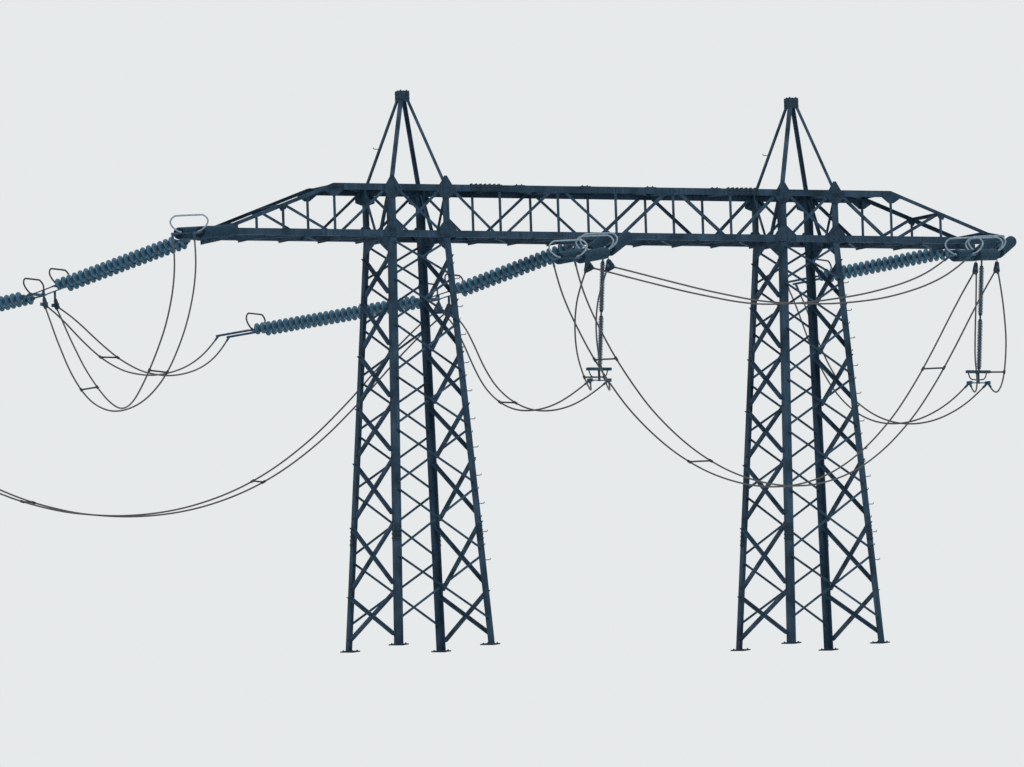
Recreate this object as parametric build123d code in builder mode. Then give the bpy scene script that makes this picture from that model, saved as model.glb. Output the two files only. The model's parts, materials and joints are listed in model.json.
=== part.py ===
"""Lattice portal pylon: two battered masts under a box beam, with its insulator
sets, arcing rings and twin jumper loops. Millimetres, +Z up, +X along the beam,
-Y the near face. The origin is midway between the masts at foot level."""

import os
from math import atan2, cos, degrees, pi, radians, sin, sqrt, tan

from build123d import *

os.makedirs("parts", exist_ok=True)

# Masts
MAST_SPACING = 9360
MAST_WIDTH = 1415
MAST_DEPTH = 1300
BATTER_X = 0.0512
BATTER_Y = 0.0675
LEG_SIZE = 150
LEG_THICK = 14
FOOT_PLATE = 320
FOOT_THICK = 25
ANCHOR_SPACING = 220
ANCHOR_RADIUS = 14
SIDE_BRACE = 70
FACE_BRACE = 50
BRACE_THICK = 6
SIDE_TOP = 8390
SIDE_PANELS = (940, 1110, 1110, 1150, 1350, 1490, 1060)
FACE_TOP = 8640
FACE_PANELS = (800, 960, 1110, 1130, 1250, 1420, 1480)
PANEL_FILL = 0.9

# Beam
BEAM_BOTTOM = 8685
BEAM_TOP = 9805
CHORD_SIZE = 140
CHORD_THICK = 12
SLOPE_SIZE = 80
KNEE_X = 6680
SLOPE_END_X = 9050
SLOPE_END_Z = 8930
TIP_X = 9450
POST_PITCH = 1384
ARM_POSTS = (6680, 7890)
WEB_SIZE = 60
WEB_THICK = 6
WEB_INSET = 75
WEB_STEP = 130
JOINT_STEP = 80
PLAN_SIZE = 60
PLAN_END = 558
SLOPE_PLAN_END = 588
PLAN_STRUT = 45
PLAN_FLAT = 8
COPE = 2
BOTTOM_STRUTS_IN = (1040, 1980, 2920, 3860)
BOTTOM_STRUTS_OUT = (5590, 6480, 7400, 8350)
PLAN_Y = 600
STRUT_SIZE = 85
HANGER_X = 9250
HANGER_SIZE = 100

# Gusset plates
PLATE_THICK = 8
HAUNCH_DROP = 300
HAUNCH_RUN = 560
GUSSET_HALF = 230
GUSSET_NECK = 90
GUSSET_LOW = (140, 320)
GUSSET_HIGH = (130, 290)
GUSSET_FAR = (290, 340)
EAR_HALF = (150, 30)
EAR_RISE = 190
TIP_PLATE_X = 8960
TIP_PLATE_SIDE = 180
JOINT_HALF = 130
JOINT_NECK = 60
JOINT_DROP = 150
KNEE_HALF = 230
KNEE_DROP = 270

# Earth-wire peaks
PEAK_BASE = (665, 640)
PEAK_TOP = 11630
PEAK_LEG = 75
PEAK_LEG_THICK = 8
HEAD_SIZE = 230
HEAD_HEIGHT = 220
HEAD_THICK = 10

# Insulator sets
LINE_ANGLE = {"near": 34.7, "far": 33.5}
SET_X = 9350
STRING_GAP = 450
DISC_RADIUS = 127
DISC_PITCH = 146
DISC_SIDES = 8
SHORT_DISCS = 21
LONG_DISCS = 28
PIN_RISE = 60
LUG_REACH = 70
LINK_WIDTH = 50
LINK_SIZE = 30
SHORT_LINK = 130
LONG_LINK = 400
YOKE_THICK = 16
YOKE_LENGTH = 150
YOKE_SIDE = 40
YOKE_BAR = 120
MID_NODE = 700
OUTER_LINK = 180
LIVE_LINK = 100
LIVE_REACH = 850
CLAMP_RADIUS = 26
CLAMP_DROP = 300
CLAMP_WIDTH = 60
CLAMP_LENGTH = 160
CLAMP_HEIGHT = 70
STUB = 160
RING_BAR = 24
RING_LINE = ((150, 0), (365, 117), (400, 187), (385, 262), (325, 327), (240, 357))
BARREL_SIDES = 6
SEAT_GAP = 0.8
RING_GAP = 6

# Hanging sets: two rod units, a yoke and two clamps
HANG_TOPS = {"middle": 0, "right": HANGER_X}
HANG_LEAN = 200
HANG_CLAMP_Z = 5720
ROD_RADIUS = 50
ROD_LENGTH = 1090
ROD_GAP = 80
ROD_SIDES = 10
HANG_LINK = 315
HANG_YOKE = 60
HANG_YOKE_LENGTH = 570
HANG_YOKE_DEPTH = 100
YOKE_RISE = 240
STUB_SIDE = 40
CROSS_BAR = 24
HOOP_LINE = ((220, 0), (200, 70), (130, 135))

# Jumpers
CONDUCTOR = 36
TURN_START = 0.25
TURN_SHARE = 0.5

HALF_X = MAST_WIDTH / 2
HALF_Y = MAST_DEPTH / 2
ALONG, ACROSS, UP = Vector(1, 0, 0), Vector(0, 1, 0), Vector(0, 0, 1)
MASTS = {"left": -MAST_SPACING / 2, "right": MAST_SPACING / 2}
FACES = {"near": -1, "far": 1}


def batter(out):
    """How fast a mast side leans, from the direction it faces."""
    return BATTER_X if abs(out.X) > 0.5 else BATTER_Y


def half_width(out, z):
    """Half the mast's width in a direction at a height: it widens below the beam."""
    half = HALF_X if abs(out.X) > 0.5 else HALF_Y
    return half + batter(out) * max(BEAM_BOTTOM - z, 0)


def angle_profile(size, thick, sx, sy):
    """L section with its heel at the sketch's origin and legs toward sx and sy."""
    points = [(0, 0), (size, 0), (size, thick), (thick, thick), (thick, size), (0, size)]
    Polygon(*[(sx * x, sy * y) for x, y in points], align=None)


def angle_bar(start, end, off, size, thick, lean=1):
    """Angle bar from start to end. Its flat leg lies against the plane through both
    points, on the side that off points to, and its other leg stands off there."""
    a, b = Vector(*start), Vector(*end)
    along = b - a
    low, inner = -size / 2 * lean, (thick - size / 2) * lean
    with BuildSketch(Plane(origin=a, x_dir=Vector(*off), z_dir=along)) as profile:
        Polygon(
            (0, low), (size, low), (size, inner), (thick, inner), (thick, -low), (0, -low),
            align=None,
        )
    extrude(profile.sketch, amount=along.length)


def flat_bar(start, end, off, wide, thick):
    """Flat bar from start to end, against the plane through both points."""
    a, b = Vector(*start), Vector(*end)
    along = b - a
    with BuildSketch(Plane(origin=a, x_dir=Vector(*off), z_dir=along)) as profile:
        Polygon(
            (0, -wide / 2), (thick, -wide / 2), (thick, wide / 2), (0, wide / 2), align=None,
        )
    extrude(profile.sketch, amount=along.length)


def finish(part, name):
    part.label = name
    export_step(part, f"parts/{name}.step")
    print(f"{name}: {len(part.solids())} solids, {part.volume / 1e9:.4f} m3")


# Mast legs: battered below the beam, upright inside it
for mast, centre in MASTS.items():
    with BuildPart() as legs:
        for sx in (-1, 1):
            for sy in (-1, 1):
                x = centre + sx * half_width(ALONG, FOOT_THICK)
                y = sy * half_width(ACROSS, FOOT_THICK)
                with BuildSketch(Plane((x, y, FOOT_THICK))):
                    angle_profile(LEG_SIZE, LEG_THICK, -sx, -sy)
                rise = Vector(-sx * BATTER_X, -sy * BATTER_Y, 1) * (BEAM_BOTTOM - FOOT_THICK)
                extrude(amount=rise.length, dir=rise.normalized())
                with BuildSketch(Plane((centre + sx * HALF_X, sy * HALF_Y, BEAM_BOTTOM))):
                    angle_profile(LEG_SIZE, LEG_THICK, -sx, -sy)
                extrude(amount=BEAM_TOP - CHORD_THICK - BEAM_BOTTOM)
    finish(legs.part, f"{mast}_mast_legs")

    with BuildPart() as feet:
        base_x = half_width(ALONG, 0) - LEG_SIZE / 2
        base_y = half_width(ACROSS, 0) - LEG_SIZE / 2
        for sx in (-1, 1):
            for sy in (-1, 1):
                with BuildSketch(Plane((centre + sx * base_x, sy * base_y, 0))):
                    Rectangle(FOOT_PLATE, FOOT_PLATE)
                    with GridLocations(ANCHOR_SPACING, ANCHOR_SPACING, 2, 2):
                        Circle(ANCHOR_RADIUS, mode=Mode.SUBTRACT)
                extrude(amount=FOOT_THICK)
    finish(feet.part, f"{mast}_mast_foot_plates")


def side_point(centre, out, across, u, z, inset=0):
    """Point on a mast side: u across it at height z, inset from the leg's outer face."""
    reach = half_width(out, z) - inset
    return Vector(centre, 0, z) + out * reach + across * u


def cross_panel(centre, out, across, top, height, size):
    """One X of bracing: a bar inside the leg flanges, one outside and a packing
    plate between them where they cross."""
    gap = height * (1 - PANEL_FILL) / 2
    high, low = top - gap, top - height + gap
    uh = half_width(across, high) - LEG_SIZE / 2
    ul = half_width(across, low) - LEG_SIZE / 2
    normal = (out + UP * batter(out)).normalized()
    inner = [
        side_point(centre, out, across, -ul, low) - normal * LEG_THICK,
        side_point(centre, out, across, uh, high) - normal * LEG_THICK,
    ]
    outer = [
        side_point(centre, out, across, ul, low),
        side_point(centre, out, across, -uh, high),
    ]
    angle_bar(*inner, -normal, size, BRACE_THICK)
    angle_bar(*outer, normal, size, BRACE_THICK)
    cross_z = low + (high - low) * ul / (ul + uh)
    middle = side_point(centre, out, across, 0, cross_z) - normal * LEG_THICK
    with BuildSketch(Plane(origin=middle, x_dir=across, z_dir=normal)) as packing:
        Rectangle(size, size)
    extrude(packing.sketch, amount=LEG_THICK)


def plate(plane, points, thick):
    with BuildSketch(plane) as outline:
        Polygon(*points, align=None)
    extrude(outline.sketch, amount=thick)


# Mast sides: every side is braced with Xs, half a panel out of step at the corners
SIDES = {
    "near": (Vector(0, -1, 0), Vector(1, 0, 0), FACE_TOP, FACE_PANELS, FACE_BRACE),
    "far": (Vector(0, 1, 0), Vector(-1, 0, 0), FACE_TOP, FACE_PANELS, FACE_BRACE),
    "left": (Vector(-1, 0, 0), Vector(0, -1, 0), SIDE_TOP, SIDE_PANELS, SIDE_BRACE),
    "right": (Vector(1, 0, 0), Vector(0, 1, 0), SIDE_TOP, SIDE_PANELS, SIDE_BRACE),
}
for mast, centre in MASTS.items():
    for side, (out, across, top, panels, size) in SIDES.items():
        with BuildPart() as bracing:
            level = top
            for height in panels:
                cross_panel(centre, out, across, level, height, size)
                level -= height
            if side in ("left", "right"):
                normal = (out + UP * BATTER_X).normalized()
                strut_z = BEAM_BOTTOM - STRUT_SIZE / 2
                reach = half_width(across, strut_z) - LEG_SIZE / 2
                ends = [
                    side_point(centre, out, across, s * reach, strut_z) - normal * LEG_THICK
                    for s in (-1, 1)
                ]
                angle_bar(*ends, -normal, STRUT_SIZE, BRACE_THICK)
                foot = Vector(centre, 0, strut_z) + out * (HALF_X - LEG_THICK)
                for s in (-1, 1):
                    head = Vector(centre, 0, BEAM_TOP - CHORD_THICK - WEB_INSET)
                    head += out * (HALF_X - LEG_THICK) + across * s * (HALF_Y - LEG_SIZE / 2)
                    angle_bar(foot, head, -out, WEB_SIZE, WEB_THICK, s)
                edge = Plane(
                    origin=side_point(centre, out, across, 0, BEAM_BOTTOM),
                    x_dir=across, z_dir=-normal,
                )
                for s in (-1, 1):
                    inner = HALF_Y - LEG_SIZE
                    up = 1 if edge.y_dir.Z > 0 else -1
                    plate(
                        edge,
                        [
                            (s * inner, 0), (s * (inner - HAUNCH_RUN), 0),
                            (s * inner, -up * HAUNCH_DROP),
                        ],
                        LEG_THICK,
                    )
        finish(bracing.part, f"{mast}_mast_{side}_bracing")

# Beam chords: angles with one flange upright in the face and one level
CHORD_Y = HALF_Y + CHORD_THICK
for face, sy in FACES.items():
    with BuildPart() as chord:
        heel = (-TIP_X, sy * CHORD_Y, BEAM_BOTTOM)
        with BuildSketch(Plane(heel, x_dir=(0, 1, 0), z_dir=(1, 0, 0))):
            angle_profile(CHORD_SIZE, CHORD_THICK, -sy, 1)
        extrude(amount=2 * TIP_X)
        cope_y = CHORD_Y - CHORD_SIZE
        for centre in MASTS.values():
            for sx in (-1, 1):
                middle = centre + sx * (HALF_X - LEG_SIZE / 2)
                with BuildSketch(
                    Plane((middle, sy * (cope_y + HALF_Y) / 2, BEAM_BOTTOM))
                ):
                    Rectangle(LEG_SIZE + 2 * COPE, HALF_Y - cope_y)
                extrude(amount=CHORD_THICK, mode=Mode.SUBTRACT)
    finish(chord.part, f"beam_{face}_bottom_chord")

    with BuildPart() as chord:
        heel = (-KNEE_X, sy * CHORD_Y, BEAM_TOP)
        with BuildSketch(Plane(heel, x_dir=(0, 1, 0), z_dir=(1, 0, 0))):
            angle_profile(CHORD_SIZE, CHORD_THICK, -sy, -1)
        extrude(amount=2 * KNEE_X)
        fall = Vector(SLOPE_END_X - KNEE_X, 0, SLOPE_END_Z - BEAM_TOP)
        for sx in (-1, 1):
            heel = (sx * KNEE_X, sy * CHORD_Y, BEAM_TOP)
            with BuildSketch(Plane(heel, x_dir=(0, 1, 0), z_dir=(1, 0, 0))):
                angle_profile(SLOPE_SIZE, CHORD_THICK, -sy, -1)
            extrude(amount=fall.length, dir=Vector(sx * fall.X, 0, fall.Z).normalized())
    finish(chord.part, f"beam_{face}_top_chord")


def top_line(x):
    """Height of the top chord's heel at a place along the beam."""
    run = max(abs(x) - KNEE_X, 0) / (SLOPE_END_X - KNEE_X)
    return BEAM_TOP + (SLOPE_END_Z - BEAM_TOP) * run


# Beam faces: posts and Warren diagonals between the masts, an X inside each mast,
# and braced arms outside them
WEB_LOW = BEAM_BOTTOM + CHORD_THICK + WEB_INSET


def web_high(x):
    return top_line(x) - CHORD_THICK - WEB_INSET


def web(x0, z0, x1, z1, lean=1):
    angle_bar(
        (x0, sy * HALF_Y, z0), (x1, sy * HALF_Y, z1), (0, -sy, 0), WEB_SIZE, WEB_THICK, lean
    )


LEG_IN = MAST_SPACING / 2 - HALF_X
LEG_OUT = MAST_SPACING / 2 + HALF_X
for face, sy in FACES.items():
    with BuildPart() as webs:
        for i in range(-2, 3):
            web(i * POST_PITCH, WEB_LOW, i * POST_PITCH, web_high(0))
        for sx in (-1, 1):
            near_leg = sx * (LEG_IN - WEB_SIZE)
            outer, inner = 2 * POST_PITCH, POST_PITCH
            web(near_leg, web_high(0), sx * (outer + WEB_STEP), WEB_LOW, sx)
            web(
                sx * (outer - WEB_STEP), WEB_LOW, sx * (inner + WEB_STEP), web_high(0), -sx
            )
            web(sx * (inner - WEB_STEP), web_high(0), sx * WEB_STEP, WEB_LOW, sx)
            low_x = LEG_IN + LEG_SIZE + WEB_SIZE / 2
            high_x = LEG_OUT - LEG_SIZE - WEB_SIZE / 2
            web(sx * low_x, WEB_LOW, sx * high_x, web_high(0))
            web(sx * high_x, WEB_LOW, sx * low_x, web_high(0))
            for x in ARM_POSTS:
                web(sx * x, WEB_LOW, sx * x, web_high(x))
            knee, joint = ARM_POSTS[0], ARM_POSTS[-1]
            web(sx * (LEG_OUT + WEB_SIZE), web_high(0), sx * (knee - WEB_STEP), WEB_LOW, sx)
            end = joint - JOINT_STEP
            web(sx * (knee + WEB_STEP), WEB_LOW, sx * end, web_high(end), -sx)
    finish(webs.part, f"beam_{face}_bracing")

# Plan bracing: struts and zigzags under the bottom chords and under the top flanges
with BuildPart() as plan:
    for sx in (-1, 1):
        for group in (BOTTOM_STRUTS_IN, BOTTOM_STRUTS_OUT):
            for i, x in enumerate(group):
                angle_bar(
                    (sx * x, -CHORD_Y, BEAM_BOTTOM), (sx * x, CHORD_Y, BEAM_BOTTOM),
                    (0, 0, -1), PLAN_STRUT, WEB_THICK,
                )
                if i:
                    side = 1 if i % 2 else -1
                    flat_bar(
                        (sx * group[i - 1], -side * PLAN_Y, BEAM_BOTTOM),
                        (sx * x, side * PLAN_Y, BEAM_BOTTOM),
                        (0, 0, -1), PLAN_SIZE, PLAN_FLAT,
                    )
finish(plan.part, "beam_bottom_plan_bracing")

with BuildPart() as plan:
    under = BEAM_TOP - CHORD_THICK
    marks = [i * POST_PITCH for i in range(-2, 3)]
    for i, x in enumerate(marks):
        angle_bar((x, -PLAN_END, under), (x, PLAN_END, under), (0, 0, -1), PLAN_SIZE, WEB_THICK)
        if i:
            side = 1 if i % 2 else -1
            angle_bar(
                (marks[i - 1], -side * PLAN_END, under), (x, side * PLAN_END, under),
                (0, 0, -1), PLAN_SIZE, WEB_THICK,
            )
    for sx in (-1, 1):
        end = 2 * POST_PITCH
        angle_bar(
            (sx * end, sx * PLAN_END, under), (sx * (LEG_IN - WEB_SIZE), -sx * PLAN_END, under),
            (0, 0, -1), PLAN_SIZE, WEB_THICK,
        )
        x0, x1 = LEG_OUT + WEB_SIZE, KNEE_X - WEB_SIZE
        angle_bar(
            (sx * x1, -PLAN_END, under), (sx * x1, PLAN_END, under),
            (0, 0, -1), PLAN_SIZE, WEB_THICK,
        )
        for a, b in ((-1, 1), (1, 1)):
            angle_bar(
                (sx * x0, -PLAN_END * a * b, under), (sx * x1, PLAN_END * a * b, under),
                (0, 0, -1), PLAN_SIZE, WEB_THICK,
            )
        slope = Vector(SLOPE_END_X - KNEE_X, 0, SLOPE_END_Z - BEAM_TOP).normalized()
        down = Vector(sx * slope.Z, 0, -slope.X)
        for x in (ARM_POSTS[-1], SLOPE_END_X - PLAN_SIZE):
            z = top_line(x) - CHORD_THICK
            angle_bar(
                (sx * x, -SLOPE_PLAN_END, z), (sx * x, SLOPE_PLAN_END, z),
                down, PLAN_SIZE, WEB_THICK,
            )
finish(plan.part, "beam_top_plan_bracing")

# Hanger beams for the suspended and tension sets, across under the bottom chords
with BuildPart() as hangers:
    for x in (-HANGER_X, 0, HANGER_X):
        angle_bar(
            (x, -CHORD_Y, BEAM_BOTTOM), (x, CHORD_Y, BEAM_BOTTOM),
            (0, 0, -1), HANGER_SIZE, CHORD_THICK,
        )
finish(hangers.part, "beam_hanger_struts")



def skin_plate(points):
    """Plate on a beam face's outer side, from points of place along and height."""
    plate(skin, [(x, up * z) for x, z in points], PLATE_THICK)


# Gusset plates on the chords' outer faces
SHOULDER_LOW, REACH_LOW = GUSSET_LOW
for face, sy in FACES.items():
    with BuildPart() as gussets:
        skin = Plane((0, sy * CHORD_Y, 0), x_dir=(1, 0, 0), z_dir=(0, sy, 0))
        up = 1 if skin.y_dir.Z > 0 else -1
        low, high = BEAM_BOTTOM + COPE, BEAM_TOP - COPE
        shoulder_high, reach_high = GUSSET_HIGH if face == "near" else GUSSET_FAR
        for centre in MASTS.values():
            for sx in (-1, 1):
                x = centre + sx * (HALF_X - LEG_SIZE / 2)
                left, right = x - GUSSET_HALF, x + GUSSET_HALF
                skin_plate(
                    [
                        (left, low), (right, low), (right, low + SHOULDER_LOW),
                        (x + GUSSET_NECK, low + REACH_LOW), (x - GUSSET_NECK, low + REACH_LOW),
                        (left, low + SHOULDER_LOW),
                    ]
                )
                ear = []
                if face == "near":
                    wide, narrow = EAR_HALF
                    ear = [
                        (x + wide, high), (x + narrow, high + EAR_RISE),
                        (x - narrow, high + EAR_RISE), (x - wide, high),
                    ]
                skin_plate(
                    [
                        (left, high), (left, high - shoulder_high),
                        (x - GUSSET_NECK, high - reach_high), (x + GUSSET_NECK, high - reach_high),
                        (right, high - shoulder_high), (right, high),
                    ]
                    + ear
                )
        for sx in (-1, 1):
            skin_plate(
                [
                    (sx * TIP_PLATE_X, low), (sx * TIP_X, low), (sx * TIP_X, low + TIP_PLATE_SIDE),
                    (sx * SLOPE_END_X, SLOPE_END_Z - COPE),
                    (sx * TIP_PLATE_X, top_line(TIP_PLATE_X) - COPE),
                ]
            )
            x = ARM_POSTS[-1]
            skin_plate(
                [
                    (sx * (x - JOINT_HALF), top_line(x - JOINT_HALF) - COPE),
                    (sx * (x + JOINT_HALF), top_line(x + JOINT_HALF) - COPE),
                    (sx * (x + JOINT_NECK), top_line(x + JOINT_NECK) - JOINT_DROP),
                    (sx * (x - JOINT_NECK), top_line(x - JOINT_NECK) - JOINT_DROP),
                ]
            )
            x = KNEE_X
            skin_plate(
                [
                    (sx * (x - KNEE_HALF), BEAM_TOP - COPE), (sx * x, BEAM_TOP - COPE),
                    (sx * (x + KNEE_HALF), top_line(x + KNEE_HALF) - COPE),
                    (sx * (x + KNEE_HALF), top_line(x + KNEE_HALF) - SLOPE_SIZE),
                    (sx * (x + JOINT_NECK), BEAM_TOP - KNEE_DROP),
                    (sx * (x - JOINT_NECK), BEAM_TOP - KNEE_DROP),
                    (sx * (x - KNEE_HALF), BEAM_TOP - CHORD_SIZE),
                ]
            )
    finish(gussets.part, f"beam_{face}_gussets")

# Earth-wire peaks: four angles on each mast, leaning in to a boxed head
for mast, centre in MASTS.items():
    with BuildPart() as peak:
        for sx in (-1, 1):
            for sy in (-1, 1):
                base_x, base_y = PEAK_BASE
                with BuildSketch(Plane((centre + sx * base_x, sy * base_y, BEAM_TOP))):
                    angle_profile(PEAK_LEG, PEAK_LEG_THICK, -sx, -sy)
                lean = Vector(
                    sx * (HEAD_SIZE / 2 - base_x), sy * (HEAD_SIZE / 2 - base_y),
                    PEAK_TOP - BEAM_TOP,
                )
                extrude(amount=lean.length, dir=lean.normalized())
    finish(peak.part, f"{mast}_peak_legs")
    with BuildPart() as head:
        with BuildSketch(Plane((centre, 0, PEAK_TOP))):
            Rectangle(HEAD_SIZE, HEAD_SIZE)
            Rectangle(HEAD_SIZE - 2 * HEAD_THICK, HEAD_SIZE - 2 * HEAD_THICK, mode=Mode.SUBTRACT)
        extrude(amount=HEAD_HEIGHT)
    finish(head.part, f"{mast}_peak_head")


# Insulator sets. A set's plane has z along the set, x level across it and y upward
def set_plane(origin, face, slope):
    a = radians(LINE_ANGLE[face])
    sy = FACES[face]
    along = Vector(-sin(a), sy * cos(a), -slope).normalized()
    return Plane(origin=origin, x_dir=Vector(-sy * cos(a), -sin(a), 0), z_dir=along)


def bar(plane, x, y, wide, high, start, end):
    """Straight bar along a set's plane, wide by high, from start to end."""
    with BuildSketch(plane.offset(start)) as section:
        with Locations((x, y)):
            Rectangle(wide, high)
    extrude(section.sketch, amount=end - start)


def rod(start, along, radius, length, sides):
    with BuildSketch(Plane(origin=start, z_dir=along)) as section:
        RegularPolygon(radius, sides)
    extrude(section.sketch, amount=length)


def bent_bar(plane, line):
    """Square bar bent along a line of points in a plane, mirrored across its y axis.
    Both of its ends are cut level where the line starts."""
    points = [Vector(x, y) for x, y in line]
    points += [Vector(-p.X, p.Y) for p in points[::-1]]
    left, right = [], []
    for i, point in enumerate(points):
        along = points[min(i + 1, len(points) - 1)] - points[max(i - 1, 0)]
        along = along.normalized()
        out = Vector(-along.Y, along.X) * (RING_BAR / 2)
        if i in (0, len(points) - 1):
            out = Vector(-RING_BAR / 2 / along.Y, 0)
        left.append(point + out)
        right.append(point - out)
    with BuildSketch(plane) as strip:
        Polygon(*[(p.X, p.Y) for p in left + right[::-1]], align=None)
    extrude(strip.sketch, amount=RING_BAR)


def string_pair(plane, start, count):
    """Two strings of cap-and-pin discs side by side, as the envelope of the discs."""
    for s in (-1, 1):
        with BuildSketch(plane.offset(start)) as envelope:
            with Locations((s * STRING_GAP / 2, 0)):
                RegularPolygon(DISC_RADIUS, DISC_SIDES)
        extrude(envelope.sketch, amount=count * DISC_PITCH)


BOTH = (SHORT_DISCS, LONG_DISCS)
SETS = {
    "far_left": ("far", -SET_X, SHORT_LINK, (0.24, 0.25, 0.13), BOTH),
    "far_middle": ("far", 0, SHORT_LINK, (0.25, 0.21, 0.082), BOTH),
    "far_right": ("far", SET_X, LONG_LINK, (0.105,), (SHORT_DISCS,)),
    "near_left": ("near", -SET_X, SHORT_LINK, (0.095,), (LONG_DISCS,)),
    "near_middle": ("near", 0, SHORT_LINK, (0.18, 0.16, 0.107), BOTH),
    "near_right": ("near", SET_X, SHORT_LINK, (0.165, 0.14, 0.085), BOTH),
}

# Planes along every set, and where its jumpers end: a point and a direction across
PLANES = {}
ENDS = {}
for name, (face, x, link, slopes, counts) in SETS.items():
    sy = FACES[face]
    pin = Vector(x, sy * (CHORD_Y + LUG_REACH), BEAM_BOTTOM + PIN_RISE)
    inner = set_plane(pin, face, slopes[0])
    end = link + YOKE_LENGTH + counts[0] * DISC_PITCH
    node = set_plane(inner.offset(end).origin, face, slopes[1 % len(slopes)])
    outer = set_plane(node.offset(MID_NODE).origin, face, slopes[-1])
    live = inner.offset(end)
    if len(counts) == 2:
        live = outer.offset(OUTER_LINK + counts[1] * DISC_PITCH + LIVE_LINK)
        low = node.offset(MID_NODE / 2).origin - Vector(0, 0, CLAMP_DROP)
        ENDS[name, "clamp"] = (low, inner.x_dir)
    ENDS[name, "terminal"] = (live.offset(LIVE_REACH).origin, inner.x_dir)
    PLANES[name] = (inner, node, outer, live)
for name, x in HANG_TOPS.items():
    low = Vector(x - HANG_LEAN, 0, HANG_CLAMP_Z)
    ENDS[name, "near"] = (low, Vector(1, 0, 0))
    ENDS[name, "far"] = (low, Vector(-1, 0, 0))

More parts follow.
